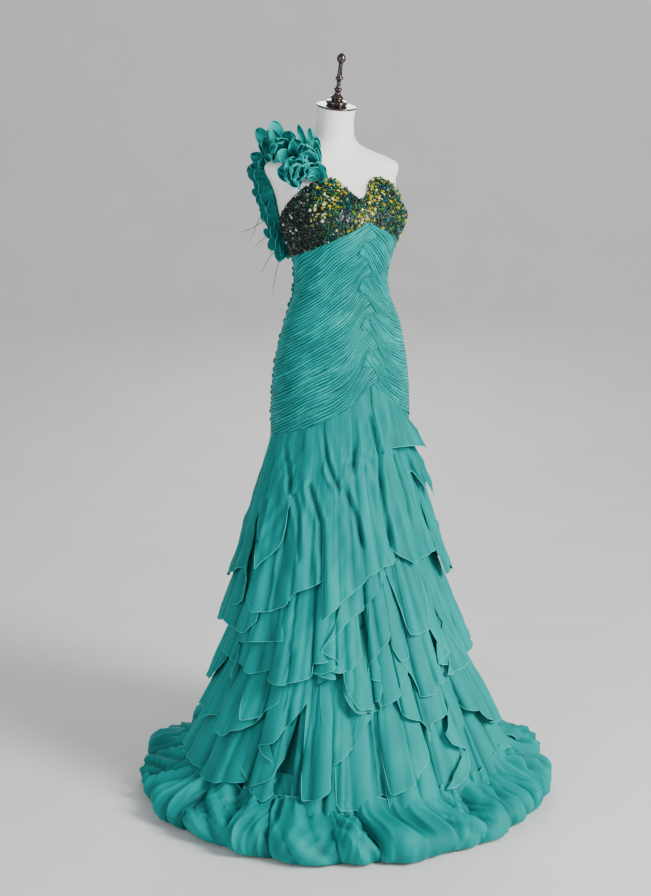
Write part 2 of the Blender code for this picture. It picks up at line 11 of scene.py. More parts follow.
import bpy
import numpy as np
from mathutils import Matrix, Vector


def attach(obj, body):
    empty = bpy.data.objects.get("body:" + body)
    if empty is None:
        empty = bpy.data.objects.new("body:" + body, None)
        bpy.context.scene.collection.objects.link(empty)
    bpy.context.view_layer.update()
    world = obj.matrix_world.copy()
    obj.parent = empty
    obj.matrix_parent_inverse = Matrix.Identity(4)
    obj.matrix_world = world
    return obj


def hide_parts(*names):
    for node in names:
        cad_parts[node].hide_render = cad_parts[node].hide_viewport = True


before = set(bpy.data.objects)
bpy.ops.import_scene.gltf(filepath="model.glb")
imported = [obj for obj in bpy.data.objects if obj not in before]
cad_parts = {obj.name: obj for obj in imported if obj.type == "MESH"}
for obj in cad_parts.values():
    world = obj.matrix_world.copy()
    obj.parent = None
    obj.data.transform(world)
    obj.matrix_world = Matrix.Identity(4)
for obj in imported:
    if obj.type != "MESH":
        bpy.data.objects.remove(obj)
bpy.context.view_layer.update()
RANDOM = np.random.default_rng(7)

# How finely the meshes are cut: rows and columns, or the spacing of points along a free edge
FRONT_CUT, BACK_CUT = ((290, 86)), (170, 70)
DRAPE_ROWS, EDGE_STEP = ((36, 3.6))
BILLOW_ROWS, BILLOW_COLUMNS = ((38, 46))

# The figure and the underskirt, with the part's own sections, lowest first
Section = namedtuple("Section", "height half_width front back centre")
SKIRT = [Section(*row) for row in (
    (0, 362, 362, 362, -14), (120, 315, 315, 315, -14), (190, 289, 286, 288, -14), (270, 263, 256, 259, -13),
    (360, 237, 224, 228, -11), (460, 214, 198, 204, -7), (560, 194, 171, 179, -3), (660, 177, 144, 155, 1),
    (740, 167, 126, 138, 3),
)]
FIGURE = [Section(*row) for row in (
    (740, 167, 126, 138, 3), (800, 159, 117, 127, 4), (880, 156, 113, 124, 5), (950, 151, 107, 117, 4),
    (1010, 140, 99, 103, 3), (1060, 126, 93, 91, 2), (1100, 108, 86, 84, 2), (1135, 101, 82, 80, 2),
    (1170, 104, 86, 82, 2), (1200, 113, 93, 87, 4), (1240, 127, 102, 95, 8), (1280, 137, 103, 99, 14),
    (1320, 142, 92, 98, 23), (1350, 150, 82, 92, 34), (1370, 161, 74, 84, 38), (1386, 161, 66, 76, 40),
    (1400, 135, 60, 68, 42), (1412, 100, 54, 60, 42), (1425, 68, 49, 53, 40), (1440, 51, 45, 47, 37),
    (1460, 45, 43, 43, 33), (1482, 43, 42, 42, 29), (1505, 44, 43, 43, 25),
)]
BUST = {"angle": 34, "height": 1282, "fullness": 36, "angle_width": 18, "height_width": 39}
FORM_FOOT, SHOULDER, NECK_FOOT, NECK_TOP = 800, 1330, 1440, 1505
NECK_LEAN, FORM_SHRINK = 12.5, 2.8
CLOTH, CLEARANCE = 1.2, 0.3

# Half the gap at an upright seam, in degrees, and the radii at which beads and creases are laid out flat
SEAM, BUST_RADIUS, HIP_RADIUS = 0.08, 125, 190

# Cloth taken up by a rolled hem and the smallest side of a flat cut, in metres, and how full its box is
ROLL, SMALLEST, FILL = 0.005, 0.011, 0.75
# How thick the rolled hems of flounces, billows, their laps, petals and frills are
FLOUNCE_HEM, BILLOW_HEM, LAP_HEM, PETAL_HEM, FRILL_HEM = 0.85, 1.0, 0.9, 0.7, 0.75

# Edges on the figure: height against the angle from the centre front
NECKLINE = [
    (0, 1314), (8, 1325), (22, 1350), (38, 1360), (54, 1350), (70, 1324), (85, 1294), (100, 1268),
    (125, 1250), (180, 1236),
]
BUST_SEAM = [(0, 1271), (20, 1250), (45, 1226), (75, 1204), (107, 1193), (180, 1180)]
HIP_SEAM_CENTRE = 6
HIP_SEAM = [(0, 925), (12, 908), (30, 878), (57, 846), (93, 820), (130, 800), (190, 790)]
BRAID_TEETH, BRAID_SWING = 4.5, 9.0
PLEAT = 7.0

# Half columns of the skirt against the angle
STATIONS = [(0, -95), (18, 6), (34, 95), (50, 180), (66, 265)]

# Flounces: the node each stands for, how far it flares at the bottom, its ply, and its sheets of cloth. A
# sheet has the heights of its sewn top at both ends (None is the hip seam), the angles of that top, and its
# free edge from the wearer's right to the left: angle, height and, where it isn't 0, how far that place
# stands off the layer. Where the edge turns back, the cloth is folded over.
Flounce = namedtuple("Flounce", "node flare ply sheets")
Sheet = namedtuple("Sheet", "tops angles edge")
FLOUNCES = [
    Flounce("overlay_front", 2, 1, [
        Sheet(None, (-44, 5), [(-44, 784), (-42, 652), (-41, 532), (-40, 452, 2), (-36, 472, 1),
            (-31, 488, 1), (-24, 510, 1), (-14, 538, 1), (-6, 552, 2), (1, 558, 3), (2, 592, 1),
            (1, 644, -1), (4, 704), (5, 800)])]),
    Flounce("overlay_front_under", 0, 0, [
        Sheet((600, 650), (-44, 3), [(-35, 330, -14), (-40, 334, -12), (-47, 340, -10), (-40, 341, -6),
            (-35, 357, -3), (-32, 364, -2), (-35, 373), (-40, 386, 2), (-40, 395, 3), (-38, 408, 2),
            (-32, 428, 1), (-24, 456), (-16, 476), (-9, 502), (-3, 528), (3, 545)])]),
    Flounce("overlay_right", 7, 0, [
        Sheet(None, (-100, -38), [(-104, 720, -6), (-100, 560, -8), (-88, 480, -4), (-77, 452, 4),
            (-68, 459), (-61, 472), (-57, 498), (-51, 512), (-46, 518), (-40, 532), (-35, 548)]),
        Sheet(None, (-92, -62), [(-93, 760, 6), (-90, 676, 6), (-79, 541, 7), (-76, 556, 7), (-69, 588, 6),
            (-66, 612, 6), (-64, 688, 5), (-62, 790, 3)])]),
    Flounce("overlay_right_under", 2, 0, [
        Sheet((560, 600), (-90, -56), [(-88, 342, -8), (-93, 352, -3), (-88, 374), (-75, 388), (-68, 392),
            (-61, 400), (-60, 416, -4), (-67, 422, -7), (-68, 440, -9), (-61, 456, -10), (-55, 480, -10)])]),
    Flounce("overlay_back_right", 14, 0, [
        Sheet(None, (193, 262), [(193, 430), (205, 412, 2), (220, 408), (232, 392), (240, 384, 2),
            (246, 386), (252, 399), (261, 401, -5), (268, 396, -7), (276, 400, -9), (284, 430, -11),
            (286, 620, -11)]),
        Sheet(None, (236, 270), [(235, 560, 8), (241, 482, 8), (254, 508, 8), (268, 532, 7), (272, 512, 4),
            (273, 464, 2), (268, 452), (259, 436, -2)])]),
    Flounce("hip_flap_left", 8, 2, [
        Sheet(None, (3, 46), [(3, 890, -6), (7, 820, -29), (12, 778, -36), (20, 787, -25), (32, 790, -6),
            (47, 782, 1), (49, 777, 2), (52, 796, 1), (55, 815)]),
        Sheet((850, 835), (30, 46), [(33, 770, -28), (37, 722, -26), (41, 730, -14), (44, 690, -4),
            (47, 704), (49, 674, 1), (52, 698), (56, 745)])]),
    Flounce("overlay_left", 0, 0, [
        Sheet(None, (-10, 50), [(-10, 760, -3), (-6, 640, -5), (4, 580, -3), (16, 549, 2), (23, 552),
            (35, 556), (46, 558), (52, 560)]),
        Sheet((700, 690), (-6, 22), [(-6, 640, -6), (1, 480, -2), (6, 408, 2), (11, 407, 2), (17, 413, 2),
            (20, 436, 2), (22, 470), (24, 600, -2)])]),
    Flounce("overlay_left_side", 6, 0, [
        Sheet(None, (44, 122), [(43, 600), (44, 526), (48, 497), (58, 512), (66, 486, 2), (76, 500),
            (90, 492, 2), (100, 512), (120, 520)])]),
    Flounce("overlay_back_left", 0, 0, [
        Sheet(None, (118, 195), [(118, 480), (128, 420), (142, 436), (156, 410), (170, 430), (184, 436),
            (195, 460)])]),
    Flounce("tier2_right", 0, 0, [
        Sheet((610, 625), (-68, -34), [(-66, 400, -6), (-61, 354, -4), (-66, 316), (-62, 315, 1),
            (-57, 316, 2), (-53, 322, 2), (-48, 331, 3), (-45, 336, 2), (-44, 360, 1), (-39, 366),
            (-33, 380, -5)]),
        Sheet((500, 510), (-42, -23), [(-42, 400, -8), (-38, 350, -10), (-32, 345, -10), (-26, 350, -10),
            (-22, 380, -8)])]),
    Flounce("tier2_front", 0, 0, [
        Sheet((520, 590), (-20, 1), [(-11, 324, -8), (-17, 328, -5), (-20, 344), (-14, 376), (-8, 404),
            (-5, 424, 2), (-5, 460, 1), (-3, 510)]),
        Sheet((560, 590), (-6, 6), [(-6, 400, -6), (-2, 360, -5), (2, 364, -4), (3, 400, -4),
            (6, 470, -4)])]),
    Flounce("tier2_left", 0, 0, [
        Sheet((620, 620), (-4, 26), [(-5, 420, -5), (-1, 350, -3), (5, 281, 2), (11, 284, 2), (13, 298, 1),
            (18, 304), (23, 318, -5), (29, 345, -6), (30, 400, -6)])]),
    Flounce("tier2_left_side", 7, 0, [
        Sheet((580, 575), (16, 42), [(17, 440), (21, 380, 2), (26, 354, 5), (17, 341), (24, 329, -3),
            (28, 346, -4)]),
        Sheet((580, 570), (26, 68), [(30, 430), (36, 352, 4), (39, 320, 6), (27, 308, 2), (21, 313, -1),
            (30, 330, -4), (44, 318, -2), (56, 334), (68, 352)])]),
    Flounce("tier2_back_left", 0, 0, [
        Sheet((570, 520), (64, 152), [(64, 345), (76, 300), (84, 310), (98, 284), (112, 296), (126, 286),
            (140, 312), (152, 345)])]),
    Flounce("tier2_back", 0, 0, [
        Sheet((500, 480), (148, 227), [(148, 330), (158, 284), (170, 296), (184, 276), (200, 292),
            (214, 290), (227, 330)])]),
    Flounce("tier2_back_right", 0, 0, [
        Sheet((500, 470), (223, 296), [(223, 300), (234, 258), (246, 250), (254, 330), (263, 328, 2),
            (270, 312, 2), (273, 298, 1), (272, 330, -2), (284, 318, -3), (296, 340, -4)])]),
    Flounce("tier3_right", 0, 0, [
        Sheet((350, 400), (-70, -34), [(-57, 160, -6), (-62, 174, -3), (-64, 184), (-59, 200), (-53, 234),
            (-48, 276), (-45, 292), (-43, 312), (-38, 330)]),
        Sheet((350, 360), (-78, -60), [(-77, 290, -2), (-74, 228, -2), (-67, 243, -2), (-63, 258, -3),
            (-58, 290, -4)])]),
    Flounce("tier3_front", 0, 0, [
        Sheet((400, 450), (-32, -4), [(-30, 330, 2), (-24, 277, 4), (-20, 276, 4), (-14, 292, 3),
            (-13, 320, 2)]),
        Sheet((400, 450), (-30, -8), [(-30, 310), (-25, 270), (-20, 267), (-14, 267), (-13, 300)])]),
    Flounce("tier3_left", 0, 0, [
        Sheet((450, 440), (-16, 6), [(-11, 324, -2), (-16, 297), (-14, 277, 2), (-7, 300, 3), (0, 336, 4),
            (-2, 360, 3), (-1, 410, 1)]),
        Sheet((450, 430), (-10, 30), [(-10, 310, -6), (-7, 264, -5), (-1, 244), (5, 220, 2), (4, 194, 3),
            (9, 226, -1), (16, 236, -4), (24, 240, -6), (30, 260, -5)])]),
    Flounce("tier3_left_side", 6, 0, [
        Sheet((380, 385), (12, 40), [(12, 300), (20, 256), (12, 202, 4), (13, 180, 5), (20, 156, 5),
            (18, 138, 4), (12, 101), (7, 97, -3)]),
        Sheet((380, 380), (28, 78), [(29, 290), (28, 244, 2), (30, 226, 3), (37, 208, 2), (45, 168, 4),
            (52, 160, 2), (60, 196), (70, 190), (78, 236)])]),
    Flounce("tier3_back_left", 0, 0, [
        Sheet((370, 360), (74, 162), [(74, 220), (82, 168), (94, 184), (108, 160), (122, 176), (136, 158),
            (150, 180), (162, 215)])]),
    Flounce("tier3_back", 0, 0, [
        Sheet((350, 350), (158, 227), [(158, 200), (168, 154), (182, 168), (194, 152), (208, 176),
            (220, 170), (227, 210)])]),
    Flounce("tier3_back_right", 0, 0, [
        Sheet((330, 330), (223, 293), [(223, 210), (233, 176), (246, 190), (256, 180), (264, 204),
            (270, 198, 2), (276, 182, 3), (280, 196), (286, 206), (293, 238)])]),
    Flounce("tier4_right", 0, 0, [
        Sheet((240, 300), (-73, -50), [(-72, 140), (-65, 103, 3), (-60, 120, 2), (-56, 136, 2), (-53, 170)]),
        Sheet((240, 280), (-70, -52), [(-68, 124, -3), (-62, 90, -1), (-59, 85, -2), (-55, 98, -6),
            (-58, 106, -8), (-54, 130, -8)]),
        Sheet((330, 330), (-50, -32), [(-50, 120, -4), (-48, 50, -6), (-42, 46, -6), (-36, 46, -6),
            (-31, 50, -6), (-30, 130, -4)]),
        Sheet((330, 330), (-48, -34), [(-46, 150, 4), (-44, 99, 5), (-40, 102, 5), (-38, 112, 5),
            (-36, 125, 4), (-37, 160, 3)])]),
    Flounce("tier4_front", 0, 0, [
        Sheet((330, 345), (-42, -10), [(-35, 142, -6), (-38, 152, -3), (-38, 168), (-34, 172), (-31, 180),
            (-26, 202, 2), (-25, 212, 3), (-26, 228, 2), (-19, 256, 2), (-13, 276, 1)]),
        Sheet((330, 340), (-33, -12), [(-34, 170, -4), (-33, 96, -4), (-31, 84, -3), (-26, 84, -3),
            (-20, 86, -3), (-19, 93, -5), (-24, 97, -7), (-19, 104, -8), (-14, 100, -8), (-11, 140, -8)]),
        Sheet((335, 340), (-14, 4), [(-15, 190, -2), (-13, 107), (-8, 120, 1), (-3, 140, 2), (1, 164, 3),
            (3, 210, 2)])]),
    Flounce("tier4_left", 0, 0, [
        Sheet((340, 330), (-14, 6), [(-15, 110, -6), (-13, 50, -8), (-6, 44, -8), (2, 46, -8), (7, 50, -8),
            (9, 100, -6)]),
        Sheet((330, 240), (3, 50), [(4, 120, -6), (7, 52, -8), (18, 46, -8), (30, 46, -8), (42, 48, -6),
            (50, 56, -4), (52, 100, -2)])]),
    Flounce("tier4_back_left", 0, 0, [
        Sheet((225, 210), (46, 172), [(46, 104), (58, 84), (74, 96), (90, 82), (108, 98), (126, 84),
            (142, 98), (158, 84), (172, 98)])]),
    Flounce("tier4_back_right", 0, 0, [
        Sheet((210, 230), (168, 292), [(168, 92), (182, 84), (198, 98), (214, 84), (230, 98), (246, 84),
            (260, 96), (276, 86), (292, 110)])]),
]
FLOUNCE_SPREAD, PLY_STEP, PLY_SPREAD = 28, 1.6, 3.0

# Creases of the overlay: how wide, how deep, and the line as angle and height. Those past 60
# degrees to the wearer's left and behind are made to match.
Crease = namedtuple("Crease", "width depth line")
CREASES = [Crease(*row) for row in (
    (6, 8, [(-48, 850), (-42, 775), (-37, 735), (-32, 715)]), (6, 6, [(-28, 716), (-20, 655), (-17, 599)]),
    (8, 8, [(2, 855), (8, 773), (3, 692), (4, 631), (2, 589)]), (5, 5, [(-78, 800), (-70, 750), (-67, 709)]),
    (6, 7, [(-54, 716), (-44, 646), (-41, 539), (-41, 456)]), (5, 5, [(-64, 695), (-57, 629), (-55, 569)]),
    (4, 3, [(-28, 782), (-14, 786), (-2, 765)]), (4, 3, [(-30, 764), (-18, 760), (-8, 748)]),
    (5, 5, [(-84, 679), (-83, 595)]), (8, 5, [(-18, 896), (-15, 811), (-21, 751)]),
    (6, 6, [(24, 770), (28, 690), (25, 620)]), (7, 6, [(70, 780), (78, 690), (74, 600)]),
    (7, 7, [(110, 790), (104, 700), (108, 600)]), (8, 7, [(150, 780), (156, 700), (150, 600), (155, 520)]),
    (7, 6, [(200, 780), (194, 690), (200, 600)]), (7, 7, [(235, 780), (240, 700), (236, 600)]),
)]

# The hem flounce's profile: how far out from the underskirt, and the height
HEM_ROLL = [
    (-4.2, 132), (5, 112), (17, 90), (38, 60), (66, 36), (98, 14), (125, 3.5), (140, 7), (148, 22), (146, 38),
    (138, 50), (124, 57), (106, 62), (88, 66), (70, 70), (52, 76), (38, 84), (26, 93),
]
# The hem's panels in half columns of the skirt, and how far a billow starts under the last one and laps over
# the next one, in degrees
HEM_PANELS = {
    "hem_front_right": (0, 18), "hem_front_left": (18, 34),
    "hem_back_left": (34, 50), "hem_back_right": (50, 66),
}
BILLOW_TUCK, BILLOW_LAP = 1.0, 4.0

# The strap's centre line on the figure as angle and height, as in the part's source
STRAP = [
    (-41, 1350), (-46, 1375), (-58, 1393), (-76, 1402), (-93, 1406), (-108, 1398), (-114, 1372), (-117, 1335),
    (-118, 1290), (-118, 1240), (-117, 1196),
]
STRAP_WIDTH = 22
# The three ways a petal reaches: towards the neck, up, and the way the petals face
WAYS = np.array([(0.866, -0.5, 0), (0, 0, 1), (-0.5, -0.866, 0)])
# The petals of each node, in lobes: the place along the strap, how far the root lies to the arm side of the
# strap's middle, how far the tip is from the root in the three ways, width, cup, number of ruffles and turn
Lobe = namedtuple("Lobe", "place aside tip width cup ruffles turn")
LOBES = {
    "petal_1": [(0.03, 46, (-50, 26, 10), 34, 10, 3, 10), (0.04, 44, (-36, 4, 22), 40, 10, 3, -10),
        (0.04, 44, (-18, 0, 28), 40, 10, 3, 20), (0.03, 34, (-4, 14, 24), 34, 10, 3, 15),
        (0.05, 46, (-32, 38, 14), 40, 12, 3, -20), (0.06, 36, (-14, 40, 18), 36, 10, 4, 25),
        (0.04, 42, (-26, 26, 30), 40, 8, 3, 0), (0.05, 38, (-10, 28, 30), 34, 8, 3, 0),
        (0.01, 8, (-4, 40, 14), 30, 8, 3, 15), (0.02, 16, (-14, 26, 22), 32, 8, 3, -15)],
    "petal_2": [(0.11, 6, (-2, 60, 4), 22, 8, 2, 20), (0.13, 2, (-8, 62, 10), 22, 8, 3, -25),
        (0.12, 8, (-20, 52, 18), 26, 8, 2, 30), (0.10, 14, (-30, 36, 24), 28, 10, 3, -20),
        (0.10, 8, (-16, 44, 30), 24, 8, 3, 40), (0.09, 14, (6, 50, 2), 20, 6, 2, 0),
        (0.09, 20, (-16, 20, 30), 30, 10, 3, 10)],
    "petal_3": [(0.22, 0, (-16, 72, 2), 15, 4, 1, 20), (0.20, -4, (-2, 64, 4), 16, 4, 1, -20),
        (0.20, 4, (-18, 38, 14), 30, 10, 3, 15), (0.17, 8, (-20, 24, 26), 32, 10, 3, -30)],
    "petal_4": [(0.28, 6, (-38, 4, 24), 34, 10, 2, 5), (0.27, 2, (-8, 40, 12), 32, 10, 3, -15),
        (0.25, 12, (-12, -22, 24), 34, 12, 3, 20), (0.24, 8, (-4, 14, 30), 32, 12, 3, 0)],
    "petal_5": [(0.36, 0, (-20, 32, 18), 42, 12, 3, 10), (0.35, 8, (-14, 24, 28), 36, 12, 2, -20),
        (0.34, -4, (6, 46, 2), 34, 10, 3, 25), (0.38, 12, (-12, -14, 26), 34, 12, 3, 0)],
    "petal_6": [(0.36, -2, (-30, 64, 0), 38, 14, 1, -15), (0.40, 0, (-22, 52, 6), 34, 12, 2, 30),
        (0.44, 2, (-34, 30, 8), 34, 10, 2, 0), (0.46, 10, (-14, -20, 18), 26, 10, 2, 15),
        (0.42, 8, (-10, 18, 22), 34, 12, 3, -10)],
    "petal_7": [(0.50, 0, (-36, 60, -4), 28, 8, 1, 10), (0.54, 0, (-22, 46, 4), 28, 8, 2, -20),
        (0.56, 2, (-38, 22, 2), 26, 8, 2, 20), (0.58, 4, (-38, 2, 4), 24, 8, 2, -10),
        (0.57, 6, (-20, 10, 12), 28, 8, 3, 0)],
}
# Gathered frills: where each starts along the strap, its strips as (aside, lean), the heights at its two
# ends, and the number and swing of its waves
Frill = namedtuple("Frill", "node start strips start_height end_height waves swing")
STRAP_FRILLS = [
    Frill("strap_frill_outer", 0.58, [(6, 22), (9, 52)], 38, 26, 13, 8),
    Frill("strap_frill_inner", 0.6, [(-6, -20), (-9, -48)], 36, 24, 12, 7.5),
]
SIDE_FRILL = Frill("side_frill", 0, [(0, 0)], 9, 8, 26, 2.2)
SIDE_SEAM = [(-126, height) for height in (1168, 1080, 980, 880, 818)]
Thread = namedtuple("Thread", "out drop sway")
THREADS = [Thread(*row) for row in (
    (62, 70, 6), (20, 40, -5), (96, 14, 8), (66, 34, -6), (34, 46, 5), (64, 56, -7), (40, 92, 6),
)]
THREAD_START, THREAD_END = 0.74, 0.97

# Kinds of beads: their spacing in front and behind, how near the edge they lie, their smallest and largest
# size, and how far they stand off the cloth
Bead = namedtuple("Bead", "front_spacing back_spacing margin low high lift")
BEAD_KINDS = [Bead(6.2, 7.0, 1.0, 4.6, 9.2, 0.0), Bead(3.8, 4.6, 1.6, 1.9, 3.6, 0.6)]

# The turned finial: radius and height of each ring
FINIAL = [
    (41, 0), (43, 1), (43, 3), (41, 4), (20, 5), (23, 8), (22, 13), (12, 16), (15, 21), (10, 25), (6, 31),
    (9, 38), (5, 44), (5, 55), (9, 61), (6, 67), (5, 91), (9, 97), (10, 103), (7, 110), (2, 114),
]


# Curves and the figure's surface

def lerp(a, b, share):
    return a + (b - a) * share


def smooth_curve(rows, x, pull=1.0):
    """Smooth values through rows of (x, value, ...) at x. A lower pull gives sharper corners."""
    rows = np.asarray(rows, float)
    x = np.clip(x, rows[0, 0], rows[-1, 0])
    i = int(min(np.searchsorted(rows[:, 0], x, side="left"), len(rows) - 1))
    i = max(i - 1, 0)
    before, low, high, after = (rows[min(max(k, 0), len(rows) - 1)] for k in (i - 1, i, i + 1, i + 2))
    t = (x - low[0]) / (high[0] - low[0])
    span = high[0] - low[0]
    start = (high[1:] - before[1:]) / (high[0] - before[0]) * span * pull
    end = (after[1:] - low[1:]) / (after[0] - low[0]) * span * pull
    first = (2 * t**3 - 3 * t**2 + 1) * low[1:] + (t**3 - 2 * t**2 + t) * start
    return first + (3 * t**2 - 2 * t**3) * high[1:] + (t**3 - t**2) * end


def table_of(rows, low, high, step=1.0):
    """A smooth curve's values on an even grid, for np.interp."""
    grid = np.arange(low, high + step / 2, step)
    return grid, np.array([smooth_curve(rows, x) for x in grid])


FIGURE_GRID, FIGURE_VALUES = table_of(FIGURE, 740, 1505)
SKIRT_ROWS = np.array(SKIRT, float)
NECK_EDGE = table_of(NECKLINE, 0, 180)
BUST_EDGE = table_of(BUST_SEAM, 0, 180)
HIP_EDGE = table_of(HIP_SEAM, 0, 190)


def around(angle):
    return (np.asarray(angle, float) + 180) % 360 - 180


def edge_height(edge, angle, centre=0):
    return np.interp(np.abs(around(np.asarray(angle) - centre)), edge[0], edge[1][:, 0])


def neckline(angle):
    return edge_height(NECK_EDGE, angle)


def bust_seam(angle):
    return edge_height(BUST_EDGE, angle)


def hip_seam(angle):
    return edge_height(HIP_EDGE, angle, HIP_SEAM_CENTRE)


def body(angle, height, out=0.0):
    """Points of the figure or underskirt, moved out from the axis. Takes arrays."""
    angle, height, out = np.broadcast_arrays(np.asarray(angle, float), np.asarray(height, float), out)
    turn = around(angle)
    low = height < SKIRT[-1].height
    values = []
    for k in range(4):
        skirt = np.interp(height, SKIRT_ROWS[:, 0], SKIRT_ROWS[:, k + 1])
        figure = np.interp(height, FIGURE_GRID, FIGURE_VALUES[:, k])
        values.append(np.where(low, skirt, figure))
    half_width, front, back, centre = values
    sine, cosine = np.sin(np.radians(turn)), np.cos(np.radians(turn))
    depth = np.where(cosine > 0, front, back)
    radius = 1 / np.hypot(sine / half_width, cosine / depth)
    for side in (-BUST["angle"], BUST["angle"]):
        aside = (turn - side) / BUST["angle_width"]
        above = (height - BUST["height"]) / BUST["height_width"]
        radius = radius + BUST["fullness"] * np.exp(-(aside**2 + above**2) / 2)
    return np.stack([sine * (radius + out), centre - cosine * (radius + out), height], axis=-1)


def facing(angle, height):
    """The figure's outward direction."""
    along = body(np.asarray(angle) + 1, height) - body(np.asarray(angle) - 1, height)
    down = body(angle, np.asarray(height) - 2) - body(angle, np.asarray(height) + 2)
    out = np.cross(down, along)
    return out / np.linalg.norm(out, axis=-1, keepdims=True)


def turn_of(angle):
    """The skirt's own measure of direction, from 0 to a full turn, which its folds follow."""
    columns, angles = zip(*STATIONS)
    return 2 * np.pi * np.interp((np.asarray(angle, float) + 95) % 360 - 95, angles, columns) / 66


def ripple(x, y, seed):
    """Smooth uneven noise from -1 to 1, from a few slanted waves."""
    total = 0
    for k in range(5):
        a, b = np.sin(seed * 12.9 + k * 4.1) * 43.7, np.sin(seed * 7.3 + k * 9.2) * 17.1
        total = total + np.sin(x * (0.6 + (a % 1) * 1.4) + y * ((b % 1) * 2 - 1) + (seed + 2.1 * k) * 3.7)
    return total / 3.2


# Meshes

def quads(grid):
    """The corners of each cell of a grid, in turn."""
    return grid[:-1, :-1], grid[:-1, 1:], grid[1:, 1:], grid[1:, :-1]


def add_object(name, data):
    made = bpy.data.objects.new(name, data)
    bpy.context.scene.collection.objects.link(made)
    return made


class Build:
    """Collects grids and tubes into one mesh. Each point has two marks for its material: the painted shade of
    its fold on plain cloth, the pleat's count and its painted light and shade on pleats, and a pick of colour
    and a zone on beads."""

    def __init__(self):
        self.points, self.faces, self.marks, self.slots, self.count = [], [], [], [], 0

    def add(self, points, faces, marks, slot=0):
        self.points.append(np.asarray(points, float).reshape(-1, 3))
        self.marks.append(np.asarray(marks, float).reshape(-1, 2))
        self.faces += (np.asarray(faces) + self.count).tolist()
        self.slots += [slot] * len(faces)
        self.count += len(self.points[-1])

    def grid(self, points, mark=0.5, other=1.0, slot=0, closed=False, inward=False):
        """A grid whose rows run down and columns to the wearer's left, with its outside facing out."""
        rows, columns = points.shape[:2]
        index = np.arange(rows * columns).reshape(rows, columns)
        if closed:
            index = np.concatenate([index, index[:, :1]], axis=1)
        faces = np.stack(quads(index)[::1 if inward else -1], axis=-1).reshape(-1, 4)
        marks = np.stack(np.broadcast_arrays(mark, other, np.zeros((rows, columns)))[:2], axis=-1)
        self.add(points, faces, marks, slot)

    def tube(self, path, radius, slot=1, mark=0.8, sides=5):
        """A thin tube along a path, thinner at its ends. Gives its length in metres."""
        travel = np.gradient(path, axis=0)
        travel /= np.maximum(np.linalg.norm(travel, axis=1, keepdims=True), 1e-9)
        helper = np.where(np.abs(travel[:, 2:3]) < 0.8, [[0.0, 0.0, 1.0]], [[1.0, 0.0, 0.0]])
        side = np.cross(travel, helper)
        side /= np.linalg.norm(side, axis=1, keepdims=True)
        up = np.cross(side, travel)
        turns = 2 * np.pi * np.arange(sides) / sides
        steps = np.arange(len(path))
        taper = np.clip((np.minimum(steps, steps[::-1]) + 1) / 5, 0.2, 1)
        radius = (np.broadcast_to(radius, len(path)) * taper)[:, None, None]
        rings = path[:, None] + radius * (
            side[:, None] * np.cos(turns)[None, :, None] + up[:, None] * np.sin(turns)[None, :, None]
        )
        self.grid(rings, mark, 0.0, slot, closed=True, inward=True)
        return np.linalg.norm(np.diff(path, axis=0), axis=1).sum() / 1000

    def make(self, name, finishes, node, slot, smooth=True):
        points, marks = np.concatenate(self.points), np.concatenate(self.marks)
        mesh = bpy.data.meshes.new(name)
        mesh.from_pydata((points * 0.001).tolist(), [], self.faces)
        layer = mesh.uv_layers.new(name="marks")
        corners = np.empty(len(mesh.loops), dtype=np.int32)
        mesh.loops.foreach_get("vertex_index", corners)
        layer.data.foreach_set("uv", marks[corners].ravel())
        mesh.polygons.foreach_set("material_index", self.slots)
        for finish in finishes:
            mesh.materials.append(finish)
        if smooth:
            mesh.shade_smooth()
        made = add_object(name, mesh)
        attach(made, "root")
        if node:
            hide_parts(node)
        return made


def cloth_size(points):
    """The flat cut of a grid of cloth in metres: width, length and area."""
    across = np.linalg.norm(np.diff(points, axis=1), axis=2).sum(axis=1).max()
    down = np.linalg.norm(np.diff(points, axis=0), axis=2).sum(axis=0).max()
    a, b, c, d = quads(points)
    area = np.linalg.norm(np.cross(c - a, b - d), axis=2).sum() / 2
    return round(across / 1000, 3), round(down / 1000, 3), area / 1e6


def declare(grids, hem=0.0):
    """Works out the flat cut of a piece's grids and the cloth its rolled hems take up; the result is not kept
    or used.
    """
    sizes = [cloth_size(points) for points in grids]
    length = max(size[1] for size in sizes) + (2 * ROLL if hem else 0)
    length = max(length, SMALLEST)


def sew(node, sheets, finish):
    """One piece of gathered cloth. Each sheet has its points, their shade, and its rolled hems as (path, how
    thick)."""
    made, hem = Build(), 0.0
    for points, shade, hems in sheets:
        made.grid(points, shade)
        hem += sum(made.tube(path, radius) for path, radius in hems)
    piece = made.make(node + "_cloth", [finish, EDGE], node, "chiffon")
    declare([sheet[0] for sheet in sheets], hem)


# Materials

BLACK, SHEEN = (0, 0, 0), (0.0, 1.0, 0.9)
WEAVE = 900.0


def plug(tree, socket, value):
    """Links another node's output to a socket, or sets a constant there. A colour has three numbers."""
    if isinstance(value, bpy.types.NodeSocket):
        tree.links.new(value, socket)
    else:
        socket.default_value = (*value, 1) if socket.type == "RGBA" else value


def set_inputs(tree, node, **values):
    for key, value in values.items():
        plug(tree, node.inputs[key.replace("_", " ")], value)


def add_node(tree, kind, **values):
    made = tree.nodes.new(kind)
    set_inputs(tree, made, **values)
    return made


def shader_of(name):
    made = bpy.data.materials.new(name)
    made.use_nodes = True
    return made, made.node_tree, made.node_tree.nodes["Principled BSDF"]


def ramp(tree, factor, stops):
    made = add_node(tree, "ShaderNodeValToRGB", Fac=factor)
    elements = made.color_ramp.elements
    while len(elements) < len(stops):
        elements.new(0.5)
    for element, (place, colour) in zip(elements, stops):
        element.position = place
        element.color = (*colour, 1)
    return made.outputs["Color"]


def mix(tree, factor, first, second):
    made = tree.nodes.new("ShaderNodeMix")
    made.data_type = "RGBA"
    set_inputs(tree, made, Factor=factor, A=first, B=second)
    return made.outputs["Result"]


